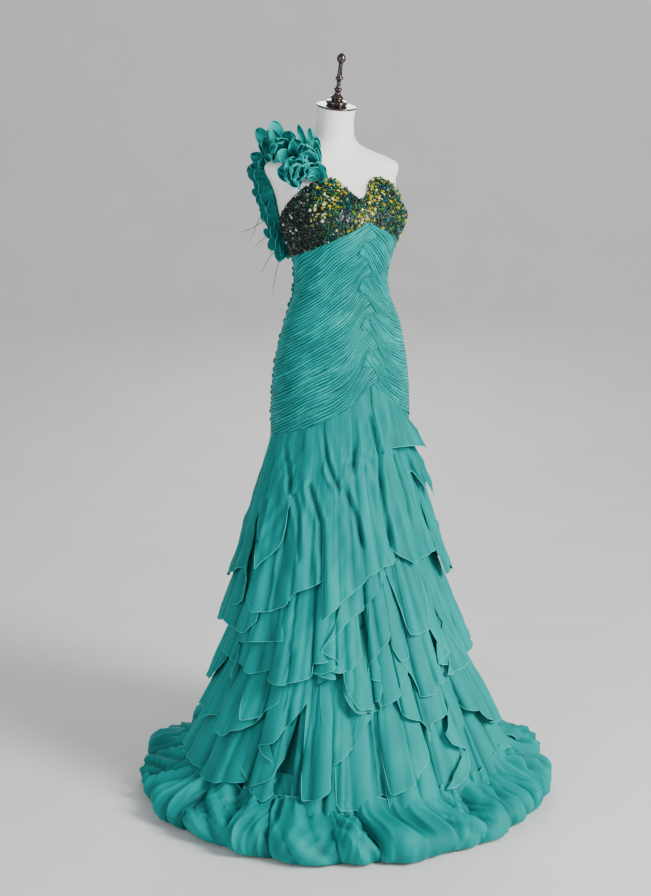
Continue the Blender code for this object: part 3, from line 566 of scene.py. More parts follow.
def maths(tree, kind, *values):
    made = tree.nodes.new("ShaderNodeMath")
    made.operation = kind
    for socket, value in zip(made.inputs, values):
        plug(tree, socket, value)
    return made.outputs[0]


def coordinates(tree, scale=(1, 1, 1)):
    """Object coordinates times a scale for each axis."""
    place = tree.nodes.new("ShaderNodeTexCoord").outputs["Object"]
    return add_node(tree, "ShaderNodeMapping", Vector=place, Scale=scale).outputs["Vector"]


def noise(tree, scale, detail, stretch=(1, 1, 1), roughness=0.5):
    values = {"Vector": coordinates(tree, stretch), "Scale": scale, "Detail": detail, "Roughness": roughness}
    return add_node(tree, "ShaderNodeTexNoise", **values).outputs["Fac"]


def bump(tree, shader, layers):
    """Chains bumps of (height socket, strength, distance) into the shader's normal."""
    last = {}
    for height, strength, distance in layers:
        made = add_node(tree, "ShaderNodeBump", Height=height, Strength=strength, Distance=distance, **last)
        last = {"Normal": made.outputs["Normal"]}
    set_inputs(tree, shader, **last)


def split(tree, vector):
    """The X, Y and Z of a vector."""
    return tuple(add_node(tree, "ShaderNodeSeparateXYZ", Vector=vector).outputs)


def marks_of(tree):
    """The two marks of each point."""
    place = tree.nodes.new("ShaderNodeUVMap")
    place.uv_map = "marks"
    return split(tree, place.outputs["UV"])[:2]


def chiffon_material(name, deep, middle, light, streak=0.25):
    """Silk chiffon: soft lighter streaks along the fall as painted highlight, painted shade in the folds and
    a fine weave.
    """
    made, tree, shader = shader_of(name)
    # Painted shade: the fold mark picks deep in the valleys, middle, and light on the ridges.
    base = ramp(tree, marks_of(tree)[0], [(0.12, deep), (0.5, middle), (0.85, light)])
    # Painted highlight: soft streaks along the fall, mixed towards the light colour.
    streaks = ramp(tree, noise(tree, 1.0, 4.0, (70, 70, 7), 0.6), [(0.35, BLACK), (0.75, (streak,) * 3)])
    cloud = ramp(tree, noise(tree, 9.0, 2.0, (1, 1, 0.6)), [(0.35, (0.22,) * 3), (0.65, BLACK)])
    base = mix(tree, cloud, mix(tree, streaks, base, light), deep)
    set_inputs(tree, shader, Base_Color=base, Roughness=0.62, Specular_IOR_Level=0.12,
        Sheen_Weight=0.12, Sheen_Roughness=0.4, Sheen_Tint=SHEEN)
    crinkle = noise(tree, 1.0, 3.0, (150, 150, 30), 0.6)
    bump(tree, shader, [(crinkle, 0.35, 0.0012), (noise(tree, WEAVE, 1.0), 0.15, 0.0004)])
    return made


def pleat_lines(tree, count, times, wander, sharp):
    """A wave from 0 in a pleat's narrow valley to 1 on its ridge, with wandering lines."""
    wander = maths(tree, "MULTIPLY", wander, 1.8 * times**0.5)
    moved = maths(tree, "ADD", maths(tree, "MULTIPLY", count, times), wander)
    wave = maths(tree, "ABSOLUTE", maths(tree, "SINE", maths(tree, "MULTIPLY", moved, math.pi)))
    return maths(tree, "POWER", wave, sharp)


def pleated_material():
    """Chiffon in narrow hand-laid pleats, with painted shade in the pleats' narrow valleys and painted light
    and shade from each point's light mark.
    """
    made, tree, shader = shader_of("pleated_chiffon")
    count, light = marks_of(tree)
    x, y, _ = split(tree, tree.nodes.new("ShaderNodeTexCoord").outputs["Object"])

    def along_pleats(across, along, seed):
        """Noise that changes fast from pleat to pleat and slowly along each."""
        parts = {
            "X": maths(tree, "MULTIPLY", count, across), "Y": maths(tree, "MULTIPLY", x, along),
            "Z": maths(tree, "MULTIPLY", y, along),
        }
        place = add_node(tree, "ShaderNodeCombineXYZ", **parts).outputs["Vector"]
        found = add_node(tree, "ShaderNodeTexNoise", Vector=place, Scale=1.0 + 0.01 * seed, Detail=2.0)
        return found.outputs["Fac"]

    coarse = pleat_lines(tree, count, 1.0, along_pleats(0.45, 16, 1), 0.42)
    fine = pleat_lines(tree, count, 2.0, along_pleats(0.7, 22, 4), 0.5)
    some = ramp(tree, along_pleats(0.8, 26, 7), [(0.40, BLACK), (0.56, (1, 1, 1))])
    fine = maths(tree, "MAXIMUM", fine, some)
    strong = ramp(tree, along_pleats(0.7, 18, 9), [(0.36, (0.85,) * 3), (0.58, BLACK)])
    lines = maths(tree, "MAXIMUM", coarse, strong)
    lines = maths(tree, "MULTIPLY", lines, maths(tree, "ADD", maths(tree, "MULTIPLY", fine, 0.6), 0.4))
    # Painted shade: the pleat lines times the light mark run from near black in the valleys to light teal on
    # the ridges.
    base = ramp(tree, maths(tree, "MULTIPLY", lines, light), [
        (0.0, (0.0, 0.004, 0.004)), (0.3, (0.0, 0.065, 0.06)), (0.65, (0.0, 0.25, 0.232)),
        (1.0, (0.0, 0.40, 0.372)),
    ])
    cloud = ramp(tree, noise(tree, 14.0, 2.0, (1, 1, 1.3)), [(0.4, (0.25,) * 3), (0.62, BLACK)])
    set_inputs(tree, shader, Base_Color=mix(tree, cloud, base, DEEP), Roughness=0.5, Specular_IOR_Level=0.2,
        Sheen_Weight=0.12, Sheen_Tint=SHEEN)
    height = maths(tree, "MULTIPLY", coarse, fine)
    bump(tree, shader, [(height, 0.8, 0.0022), (noise(tree, WEAVE, 1.0), 0.15, 0.0004)])
    return made


def bead_material():
    """Glass beads and stones: near black and emerald at the wearer's right with a few pale grey painted
    glints, gold, lime and blue in front.
    """
    made, tree, shader = shader_of("glass_beads")
    pick, zone = marks_of(tree)
    # The dark ramp's pale grey stop at 0.985 is a painted glint.
    dark = ramp(tree, pick, [
        (0.0, (0.001, 0.004, 0.003)), (0.5, (0.002, 0.012, 0.009)), (0.76, (0.003, 0.032, 0.024)),
        (0.88, (0.006, 0.07, 0.05)), (0.95, (0.10, 0.13, 0.11)), (0.985, (0.5, 0.55, 0.5)),
    ])
    bright = ramp(tree, pick, [
        (0.0, (0.001, 0.016, 0.010)), (0.24, (0.002, 0.05, 0.028)), (0.44, (0.003, 0.095, 0.07)),
        (0.58, (0.004, 0.07, 0.11)), (0.64, (0.05, 0.15, 0.006)), (0.74, (0.30, 0.25, 0.004)),
        (0.88, (0.48, 0.38, 0.01)), (0.97, (0.6, 0.58, 0.2)), (0.985, (0.55, 0.6, 0.55)),
    ])
    for colour in (dark, bright):
        colour.node.color_ramp.interpolation = "CONSTANT"
    base = mix(tree, zone, dark, bright)
    set_inputs(tree, shader, Base_Color=base, Roughness=0.12, Specular_IOR_Level=0.5)
    bump(tree, shader, [(noise(tree, 420.0, 2.0), 0.2, 0.0006)])
    return made


def net_material():
    """The dark cloth under the beads."""
    made, tree, shader = shader_of("bead_ground")
    spots = add_node(tree, "ShaderNodeTexVoronoi", Vector=coordinates(tree), Scale=420.0).outputs["Distance"]
    base = ramp(tree, spots, [(0.0, (0.002, 0.05, 0.038)), (0.5, (0.001, 0.012, 0.010))])
    set_inputs(tree, shader, Base_Color=base, Roughness=0.45)
    bump(tree, shader, [(spots, 0.6, 0.001)])
    return made


def form_material():
    """The form's painted cover: warm white with faint scuffs."""
    made, tree, shader = shader_of("form_paint")
    cloud = noise(tree, 7.0, 4.0, (1, 1, 0.8), 0.55)
    base = ramp(tree, cloud, [
        (0.3, (0.78, 0.79, 0.77)), (0.6, (0.90, 0.90, 0.88)), (0.8, (0.92, 0.92, 0.90)),
    ])
    rough = ramp(tree, noise(tree, 60.0, 4.0), [(0.3, (0.5,) * 3), (0.7, (0.62,) * 3)])
    set_inputs(tree, shader, Base_Color=base, Roughness=rough)
    bump(tree, shader, [(noise(tree, WEAVE, 2.0), 0.12, 0.0003), (cloud, 0.1, 0.002)])
    return made


def noise_material(name, pattern, stops, relief=None, **values):
    """A material whose colour and relief (strength, distance) follow one noise."""
    made, tree, shader = shader_of(name)
    pattern = noise(tree, *pattern)
    set_inputs(tree, shader, Base_Color=ramp(tree, pattern, stops), **values)
    if relief:
        bump(tree, shader, [(pattern, *relief)])
    return made


# The chiffon's painted shade, plain colour and painted highlight, which the fold mark picks between. DEEP is
# also the colour of the random darker clouds.
DEEP, MIDDLE, LIGHT = (0.0, 0.016, 0.016), (0.0, 0.150, 0.140), (0.0, 0.270, 0.252)
CHIFFON = chiffon_material("silk_chiffon", DEEP, MIDDLE, LIGHT)
EDGE = chiffon_material("rolled_hem", (0.0, 0.20, 0.185), (0.02, 0.36, 0.335), (0.05, 0.48, 0.45), 0.1)
# A lighter copy of the chiffon for the petals and frills: painted light, brighter than the skirt's cloth.
PETAL = chiffon_material("petal_chiffon", (0.0, 0.05, 0.047), (0.0, 0.24, 0.223), (0.01, 0.40, 0.372))
PLEATED = pleated_material()
BEADS, NET, PAINT = bead_material(), net_material(), form_material()
WOOD = noise_material(
    "turned_wood", (1.0, 5.0, (160, 160, 14), 0.65),
    [(0.3, (0.006, 0.004, 0.003)), (0.55, (0.022, 0.011, 0.008)), (0.75, (0.05, 0.022, 0.014))],
    (0.12, 0.0005), Roughness=0.18, Coat_Weight=0.7, Coat_Roughness=0.08,
)
STEEL = noise_material(
    "coated_steel", (700.0, 2.0), [(0.3, (0.03, 0.03, 0.032)), (0.7, (0.07, 0.07, 0.075))],
    (0.2, 0.0003), Metallic=0.4, Roughness=0.42,
)
THREAD = noise_material(
    "loose_thread", (500.0, 2.0), [(0.3, (0.16, 0.13, 0.13)), (0.7, (0.36, 0.29, 0.29))],
    (0.3, 0.0003), Roughness=0.7,
)
FLOOR = noise_material(
    "studio_floor", (4.0, 2.0), [(0.3, (0.70, 0.70, 0.695)), (0.7, (0.73, 0.73, 0.725))], Roughness=0.7
)


# The dress form

def build_torso():
    rows = np.concatenate([np.linspace(FORM_FOOT, SHOULDER, 60), np.linspace(SHOULDER + 4, NECK_TOP, 60)])
    rows = rows[::-1][:, None]
    angles = np.linspace(0, 360, 96, endpoint=False)
    points = body(angles[None, :], rows, -FORM_SHRINK)
    share = np.clip((rows - NECK_FOOT) / (NECK_TOP - NECK_FOOT), 0, 1)
    centre = np.interp(rows, FIGURE_GRID, FIGURE_VALUES[:, 3])
    points[..., 2] += share * math.tan(math.radians(NECK_LEAN)) * (points[..., 1] - centre)
    made = Build()
    made.grid(points, closed=True)
    for ring, order in ((points[0], 1), (points[-1], -1)):
        middle = ring.mean(axis=0, keepdims=True)
        fan = np.stack([np.repeat(middle, len(ring), axis=0), middle + (ring - middle) * 0.6, ring])[::order]
        made.grid(fan, closed=True)
    made.make("dress_form", [PAINT], "form_torso", "form_cover")


def build_finial():
    length = np.cumsum([0] + [math.dist(a, b) for a, b in zip(FINIAL, FINIAL[1:])])
    length = length / length[-1]
    steps = np.linspace(0, 1, len(FINIAL) * 5)
    rows = np.column_stack([length, FINIAL])
    radius = np.array([max(smooth_curve(rows, s)[0], 0.5) for s in steps])
    height = np.interp(steps, length, [ring[1] for ring in FINIAL])
    tilt = math.radians(NECK_LEAN)
    axis = np.array([0, -math.sin(tilt), math.cos(tilt)])
    across = np.array([0, math.cos(tilt), math.sin(tilt)])
    foot = np.array([0, FIGURE[-1].centre, NECK_TOP]) + axis * CLEARANCE
    turns = np.radians(np.linspace(0, 360, 40, endpoint=False))
    spokes = np.array([1, 0, 0]) * np.cos(turns)[:, None] + across * np.sin(turns)[:, None]
    points = foot + axis * height[::-1, None, None] + spokes[None] * radius[::-1, None, None]
    made = Build()
    made.grid(points, closed=True)
    tip = points[0].mean(axis=0) + axis * 1.5
    made.grid(np.stack([np.repeat(tip[None], len(turns), axis=0), points[0]]), closed=True)
    made.make("turned_finial", [WOOD], "form_finial", "dark_wood")


# The bodice

def gem_shape():
    """A rough stone of twenty facets."""
    g = (1 + 5**0.5) / 2
    points = np.array([
        (-1, g, 0), (1, g, 0), (-1, -g, 0), (1, -g, 0), (0, -1, g), (0, 1, g), (0, -1, -g), (0, 1, -g),
        (g, 0, -1), (g, 0, 1), (-g, 0, -1), (-g, 0, 1),
    ]) / math.hypot(1, g)
    faces = np.array([
        (0, 11, 5), (0, 5, 1), (0, 1, 7), (0, 7, 10), (0, 10, 11), (1, 5, 9), (5, 11, 4), (11, 10, 2),
        (10, 7, 6), (7, 1, 8), (3, 9, 4), (3, 4, 2), (3, 2, 6), (3, 6, 8), (3, 8, 9), (4, 9, 5), (2, 4, 11),
        (6, 2, 10), (8, 6, 7), (9, 8, 1),
    ])
    return points, faces


def scatter(start, end, spacing, margin):
    """Uneven places between the neckline and the bust seam: angles and heights."""
    found = []
    angle, column = start + spacing * 0.25, 0
    while angle < end:
        top, low = float(neckline(angle)) + margin, float(bust_seam(angle)) - margin
        for k in range(max(int((top - low) / spacing), 1)):
            found.append((angle, low + (k + 0.5 + 0.5 * (column % 2)) * spacing))
        radius = np.linalg.norm(body(angle, (top + low) / 2)[:2])
        angle += math.degrees(spacing * 0.87 / radius)
        column += 1
    angles, heights = np.array(found).T
    angles = angles + RANDOM.uniform(-0.34, 0.34, len(angles)) * math.degrees(spacing / BUST_RADIUS)
    heights = heights + RANDOM.uniform(-0.34, 0.34, len(heights)) * spacing
    keep = (heights < neckline(angles) + margin) & (heights > bust_seam(angles) - margin)
    keep &= (angles > start) & (angles < end)
    return angles[keep], heights[keep]


def add_gems(made, angles, heights, low, high, lift):
    """Stones of sizes from low to high, flat against the cloth."""
    shape, faces = gem_shape()
    centres = body(angles, heights)
    normal = facing(angles, heights)
    along = np.cross([0, 0, 1.0], normal)
    along /= np.linalg.norm(along, axis=1, keepdims=True)
    up = np.cross(normal, along)
    spin = RANDOM.uniform(0, 2 * np.pi, len(angles))[:, None]
    first = along * np.cos(spin) + up * np.sin(spin)
    second = -along * np.sin(spin) + up * np.cos(spin)
    size = RANDOM.uniform(low, high, (len(angles), 1)) / 2
    narrow, flat = RANDOM.uniform(0.6, 1, size.shape), RANDOM.uniform(0.5, 0.8, size.shape)
    scales = np.stack([size, size * narrow, size * flat])
    tip = RANDOM.normal(0, 0.16, (3, len(angles), 1))
    normal_tipped = normal + first * tip[0] + second * tip[1]
    jitter = RANDOM.uniform(0.82, 1.12, (len(angles), len(shape)))
    local = shape[None] * jitter[..., None]
    points = (
        (centres + normal * (CLEARANCE + CLOTH + lift) + normal * scales[2] * 0.6)[:, None]
        + local[..., 0:1] * (first * scales[0])[:, None]
        + local[..., 1:2] * (second * scales[1])[:, None]
        + local[..., 2:3] * (normal_tipped * scales[2])[:, None]
    )
    pick = RANDOM.uniform(0, 1, len(angles))
    turn = around(angles)
    zone = np.clip((turn + 62 + 9 * ripple(turn / 9, heights / 14, 3)) / 26, 0, 1)
    zone = zone * np.clip((104 - turn) / 20, 0, 1)
    zone = np.where(zone > RANDOM.uniform(0.1, 0.9, len(angles)), 1.0, 0.0)
    gold = np.clip(ripple(turn / 8, heights / 13, 5) * 1.6, -1, 1) * (1 if high > 5 else 0.5)
    # A few beads take the highest pick. On the dark side this is the pale grey at the top of the ramp:
    # painted glints.
    pick = np.where(RANDOM.uniform(0, 1, len(angles)) < 0.02, 0.99, pick)
    pick = np.where(zone > 0.5, np.clip(pick * 0.86 + 0.05 + 0.24 * gold, 0, 0.984), pick)
    marks = np.repeat(np.column_stack([pick, zone]), len(shape), axis=0)
    index = faces[None] + (np.arange(len(angles)) * len(shape))[:, None, None]
    made.add(points, index.reshape(-1, 3), marks)


def build_bodice():
    """The beaded cups and back bands: a ground cloth, stones close together and small beads between them."""
    for node, start, end in (
        ("cup_right", -95, 0), ("cup_left", 0, 95),
        ("band_back_left", 95, 180), ("band_back_right", 180, 265),
    ):
        beads, made = Build(), Build()
        for kind in BEAD_KINDS:
            spacing = kind.back_spacing if node.startswith("band") else kind.front_spacing
            add_gems(beads, *scatter(start, end, spacing, kind.margin), kind.low, kind.high, kind.lift)
        beads.make(node + "_beads", [BEADS], None, "beaded", smooth=False)
        angles = np.linspace(start + SEAM, end - SEAM, 90)
        heights = lerp(neckline(angles), bust_seam(angles), np.linspace(0, 1, 40)[:, None])
        ground = body(angles[None], heights, CLEARANCE + CLOTH)
        made.grid(ground)
        cloth = made.make(node + "_cloth", [NET], node, "beaded")
        declare([ground])


# The ruched waist

def zigzag(share):
    """The teeth of the seam between the front pleats, from -1 to 1, at a share of the way down."""
    return 2 / np.pi * np.arcsin(np.sin(2 * np.pi * BRAID_TEETH * share))


def braid(share):
    """The angle of that seam."""
    swing = BRAID_SWING * np.sin(np.pi * np.minimum(share * 12, 1) / 2) * np.minimum(1, (1 - share) * 10)
    return lerp(0, HIP_SEAM_CENTRE, share) + 3 * np.sin(np.pi * share) + swing * zigzag(share)


def pleat_count(angle, height, share, side):
    """Which pleat a place of the waist lies in. Pleats rise to the braided seam and run round the back."""
    turn = np.radians(angle + 30)
    if side > 0:
        rise = 140 * (0.56 * np.sin(turn) + 0.16 * np.cos(turn))
        steep = 44 * (1 + np.tanh((angle + 9) / 11)) / 2 * np.clip(share * 1.5 - 0.1, 0, 1)
    elif side < 0:
        rise = 140 * (-0.74 * np.sin(turn) + 0.20 * np.cos(turn)) + 92
        steep = 36 * (1 - np.tanh((angle - 18) / 11)) / 2 * np.clip(share * 1.5 - 0.1, 0, 1)
    else:
        rise = 26 * np.cos(np.radians(angle * 2 + 10))
        steep = 0
    return (1290 + rise + steep - height) / PLEAT


def ruched(node, start, end, side, seed):
    """A panel of narrow pleats, uneven as hand pleating is: they part, join and fade along their length."""
    rows, columns = FRONT_CUT if side else BACK_CUT
    share = np.linspace(0, 1, rows)[:, None]
    across = np.linspace(0, 1, columns)[None, :]
    begin, finish = start + SEAM + 0 * share, end - SEAM + 0 * share
    over = 2.6
    if side > 0:
        finish = braid(share) + over
    elif side < 0:
        begin = braid(share) - over
    angle = lerp(begin, finish, across)
    height = lerp(bust_seam(angle) - 0.15, hip_seam(angle) + 0.15, share)
    count = pleat_count(angle, height, share, side)
    count = count + 0.5 * ripple(angle / 16, height / 60, seed)
    count = count + 0.10 * ripple(angle / 6, height / 22, seed + 3)
    patch = np.clip(0.7 + 0.6 * ripple(angle / 9, count * 0.8, seed + 5), 0.1, 1.4)
    main = patch * flute(2 * np.pi * count, 0.75)
    broad = ripple(angle / 26, height / 60, seed + 8)
    out = CLEARANCE + CLOTH + 2.0 + 1.2 * main + 1.3 * broad
    # Painted light and shade: lighter on the pleats' ridges and broad swells.
    light = 0.88 + 0.10 * broad + 0.10 * main
    if side:
        near = (finish - angle if side > 0 else angle - begin) - over
        rise = side * zigzag(share)
        out = out + 2.6 * rise * np.exp(-(np.clip(near, 0, None) / 8)) + 0.9
        out = out - 2.6 * np.clip(-near / over, 0, 1) ** 1.5
        # A painted shadow on the lower panel beside the edge of a tongue that laps over it, and a painted
        # highlight along the raised tongue's edge.
        light = light - 0.8 * np.clip(0.3 - rise, 0, 1) * np.exp(-(np.clip(near, 0, None) / 2.6))
        light = light + 0.12 * np.clip(rise, 0, 1) * np.exp(-((near - 2) / 3) ** 2)
    points = body(angle, height, out)
    made = Build()
    made.grid(points, count + seed * 3, np.clip(light, 0.1, 1.15))
    piece = made.make(node + "_ruched", [PLEATED], node, "chiffon")
    declare([points])


# The skirt

def wave_sum(angle, height):
    """Turns round the skirt for the main, second and fine folds, with their depths."""
    turn = turn_of(angle)
    depth = 0.82 + 0.18 * np.sin(5 * turn + 1.0)
    wander = 0.9 * ripple(turn * 5, height / 110, 2.0)
    return turn, depth, 16 * turn + 0.7 * np.sin(3 * turn) + 0.5 * np.sin(7 * turn + 2.0) + wander


def flute(phase, sharp=0.62):
    """A wave from -1 to 1 with broad ridges and narrow valleys."""
    return 2 * np.abs(np.sin(phase / 2)) ** sharp - 1


def folds(angle, height, amount, seed):
    """How far the folds move cloth out and to the side, and the painted shade of the cloth: darker in a
    fold's valley, lighter on its ridge.
    """
    turn, depth, phase = wave_sum(angle, height)
    down = height / 1000
    main = depth * flute(phase - np.pi / 2)
    second_phase = 39 * turn + 1.4 * np.sin(4 * turn + 0.5) + 0.9 * np.sin(9 * turn + seed) + 5 * down + seed
    second_depth = np.clip(0.62 + 0.5 * ripple(turn * 14, down * 9, seed + 1), 0.1, 1.2)
    second = second_depth * flute(second_phase, 0.8)
    third_phase = 88 * turn + 1.8 * np.sin(6 * turn + seed) + 0.8 * np.sin(17 * turn) - 6 * down + 2 * seed
    third_depth = np.clip(0.45 + 0.75 * ripple(turn * 23, down * 15, seed + 6), 0, 1.2)
    third = third_depth * flute(third_phase, 0.9)
    out = amount * (11 * main + 6.0 * second + 1.9 * third)
    side = -amount * (5.0 * depth * np.sin(2 * phase - np.pi) + 2.6 * second_depth * np.sin(second_phase))
    fold = 0.52 + 0.20 * main + 0.20 * second + 0.14 * third
    return out, side, np.clip(fold, 0, 1)


def creased(angle, height):
    """How far the listed creases press the cloth in, with a ridge beside each."""
    total = 0
    across = np.radians(angle) * HIP_RADIUS
    for row in CREASES:
        line = np.array(row.line, float) * (math.radians(HIP_RADIUS), 1)
        near = 1e9
        for (x, z), (x_end, z_end) in zip(line, line[1:]):
            run, fall = x_end - x, z_end - z
            t = np.clip(((across - x) * run + (height - z) * fall) / (run**2 + fall**2), 0, 1)
            near = np.minimum(near, np.hypot(across - x - t * run, height - z - t * fall))
        ridge = np.exp(-(((near - 1.9 * row.width) / row.width) ** 2))
        total = total + row.depth * (0.5 * ridge - np.exp(-((near / row.width) ** 2)))
    return total


def skirt_point(angle, height, out, side):
    """Points over the underskirt, moved out, and to the wearer's left by side."""
    radius = np.linalg.norm(body(angle, height)[..., :2], axis=-1) + out
    return body(angle + np.degrees(side / radius), height, out)


def free_edge(knots):
    """A smooth line through an edge's knots, with places evenly spaced along it."""
    knots = np.array([(*knot, 0)[:3] for knot in knots], float)
    flat = np.column_stack([np.radians(knots[:, 0]) * (395 - 0.34 * knots[:, 1]), knots[:, 1]])
    length = np.concatenate([[0], np.cumsum(np.linalg.norm(np.diff(flat, axis=0), axis=1))])
    rows = np.column_stack([length, knots])
    count = max(int(length[-1] / EDGE_STEP), 20)
    return np.array([smooth_curve(rows, x, 0.3) for x in np.linspace(0, length[-1], count)])


def drape(row, sheet, seed):
    """One sheet of a flounce, from its sewn top to its free edge: points, painted shade and how thick its hem
    is.
    """
    angle_low, low, stand = free_edge(sheet.edge).T
    moves = np.abs(np.gradient(angle_low)) * 4 + 0.12 * np.abs(np.gradient(low))
    across = np.concatenate([[0], np.cumsum(moves)[1:]])
    angle_top = lerp(*sheet.angles, across / across[-1])
    on_hip = sheet.tops is None
    top = hip_seam(angle_top) - 0.3 if on_hip else lerp(*sheet.tops, across / across[-1])
    low = np.minimum(low, top - 1.0)
    share = np.linspace(0, 1, DRAPE_ROWS)[:, None]
    angle = lerp(angle_top, angle_low, share**1.5)
    height = lerp(top, low, share)
    down = np.clip((top - height) / np.maximum(top - low.min(), 1), 0, 1)
    depth = np.clip((860 - height) / 500, 0, 1.2) ** 1.5
    amount = np.minimum(depth, down * 2.6) * (1 if on_hip else 0.9)
    out, side, fold = folds(angle, height, amount, seed)
    base = 2 * CLEARANCE + CLOTH + 1.2 + row.ply * (PLY_STEP + PLY_SPREAD * down)
    base = base + (FLOUNCE_SPREAD + row.flare) * down
    turn = turn_of(angle)
    crumple = ripple(turn * 17 + height / 40, height / 21, seed + 9)
    small = ripple(turn * 34 - height / 22, height / 11, seed + 4)
    upper = 1.5 if on_hip else 1.0
    crease = (1.9 * upper * crumple + 0.8 * upper * small) * (0.25 + 0.75 * np.clip(down * 2, 0, 1))
    pressed = creased(angle, height) * np.clip(down * 4, 0, 1) if on_hip else 0
    points = skirt_point(angle, height, base + out + (crease + pressed) + stand * share**1.4, side)
    # Painted shade: darker in the folds' valleys and the pressed creases, lighter on their ridges, with faint
    # crumple.
    shade = (fold - 0.5) * 1.25 * np.clip(0.35 + amount, 0, 1)
    shade = shade + 0.55 + 0.05 * crumple + 0.04 * small + 0.035 * pressed
    hang = np.clip((down[-1] - 0.45) / 0.25, 0.15, 1) * np.clip((stand + 26) / 8, 0.2, 1)
    return points, np.clip(shade, 0, 1), FLOUNCE_HEM * hang


def build_flounces():
    for seed, row in enumerate(FLOUNCES, 1):
        sheets = []
        for number, sheet in enumerate(row.sheets):
            points, shade, thick = drape(row, sheet, seed * 1.7 + number * 2.3)
            sheets.append((points, shade, [(points[-1], thick)]))
        sew(row.node, sheets, CHIFFON)


def puff(first, last, size, lean, seed):
    """One billow of the hem flounce. It spreads to the floor, rolls back and laps over the next one."""
    rows = np.array(HEM_ROLL, float)
    length = np.concatenate([[0], np.cumsum(np.linalg.norm(np.diff(rows, axis=0), axis=1))])
    curve = np.column_stack([length / length[-1], rows])
    shares = np.linspace(0, 1, BILLOW_ROWS)
    profile = np.array([smooth_curve(curve, x) for x in shares])
    share = shares[:, None]
    across = np.linspace(0, 1, BILLOW_COLUMNS)[None, :] ** 1.2
    bow = 0.22 * lean * np.sin(np.pi * np.clip(share * 1.1, 0, 1)) + 0.06 * ripple(share * 6, 0, seed + 7)
    angle = lerp(first, last, across + bow * (1 - 0.4 * across))
    crown = np.sin(np.pi * np.clip(across * 0.94 + 0.03, 0, 1)) ** 0.55
    rise = np.clip((share - 0.40) * 3.0, 0, 1)
    spread = np.clip(share * 3, 0, 1)
    slant = 3 * lean * share + 0.6 * np.sin(5 * share + seed)
    main = flute(2 * np.pi * (1.5 * across + 0.5 * slant + 0.3 * np.sin(5 * across + seed)) + seed, 0.7)
    main = main * np.clip(0.75 + 0.6 * ripple(across * 9, share * 7, seed + 2), 0.1, 1.4)
    second = ripple(across * 10 + 5 * slant, share * 10, seed)
    tuck = 1 - 2 * np.abs(ripple(across * 15 - 6 * slant, share * 12, seed + 4)) ** 0.7
    soft = ripple(across * 4, share * 5, seed + 11)
    over = 8 * (1 - across) ** 2 - 6 * across**3 - 15 * np.exp(-((across / 0.035) ** 2))
    deep = 1 - 0.35 * rise
    inner = np.clip((share - 0.78) / 0.22, 0, 1)
    out = profile[:, :1] * (0.86 + 0.14 * crown * size) + 2.2
    out = out + spread * (deep * 5 * main + 5.5 * second + 3.2 * tuck + 8 * soft + over)
    height = profile[:, 1:] * lerp(1, 0.66 + 0.36 * crown * size + 0.24 * soft, rise * (1 - 0.75 * inner))
    height = height + rise * ((4 + 7 * inner) * main + 5 * second + 3.4 * tuck + 0.8 * over)
    points = body(angle, SKIRT[1].height, out)
    points[..., 2] = np.maximum(height, 1.2)
    # Painted shade following the billow's folds and tucks.
    shade = 0.66 + (0.16 + 0.10 * inner) * main + 0.18 * second + 0.14 * tuck + 0.12 * soft
    # A painted highlight on the crest just inside the billow's starting edge, and painted shade on its far
    # quarter.
    shade = shade + 0.35 * np.exp(-(((across - 0.07) / 0.035) ** 2))
    shade = shade - 0.45 * spread * np.clip(across * 4 - 3, 0, 1)
    return points, np.clip(shade, 0, 1)


def build_hem():
    """The hem flounce on the floor: billows of uneven size, each lapping over the edge of the next."""
    for node, panel in HEM_PANELS.items():
        start, end = np.interp(panel, *zip(*STATIONS))
        count = 7 if end - start > 90 else 6
        widths = np.array([1 + 0.42 * math.sin(2.9 * k + start) for k in range(count)])
        marks = start + (end - start) * np.concatenate([[0], np.cumsum(widths)]) / widths.sum()
        sheets = []
        for k in range(count):
            seed = start + 3.7 * k
            size, lean = 0.95 + 0.35 * math.sin(2.3 * seed + 1), math.sin(1.7 * seed)
            points, shade = puff(marks[k] - BILLOW_TUCK, marks[k + 1] + BILLOW_LAP, size, lean, seed)
            lap = points[len(points) // 4:, 0]
            sheets.append((points, shade, [(points[-1], BILLOW_HEM), (lap, LAP_HEM)]))
        sew(node, sheets, CHIFFON)


# The strap

def frames_along(path, lifts, steps):
    """Points along a path on the figure with their travel, outward and sideways directions."""
    rows = np.column_stack([np.linspace(0, 1, len(path)), np.array(path, float)])
    places = np.array([smooth_curve(rows, s) for s in np.linspace(0, 1, steps + 1)])
    outward = facing(places[:, 0], places[:, 1])
    rise = np.interp(np.linspace(0, 1, steps + 1), [0, 1 / 3, 1], [lifts[0], lifts[1], lifts[1]])
    spine = body(places[:, 0], places[:, 1]) + outward * rise[:, None]
    travel = np.gradient(spine, axis=0)
    travel /= np.linalg.norm(travel, axis=1, keepdims=True)
    outward = outward - travel * (outward * travel).sum(axis=1, keepdims=True)
    outward /= np.linalg.norm(outward, axis=1, keepdims=True)
    return spine, travel, outward, np.cross(outward, travel)


def frame_at(frames, share):
    """The points and directions at shares of a path's length."""
    share = np.atleast_1d(np.asarray(share, float))
    grid = np.linspace(0, 1, len(frames[0]))
    found = [np.stack([np.interp(share, grid, part[:, k]) for k in range(3)], axis=-1) for part in frames]
    return [found[0]] + [part / np.linalg.norm(part, axis=1, keepdims=True) for part in found[1:]]


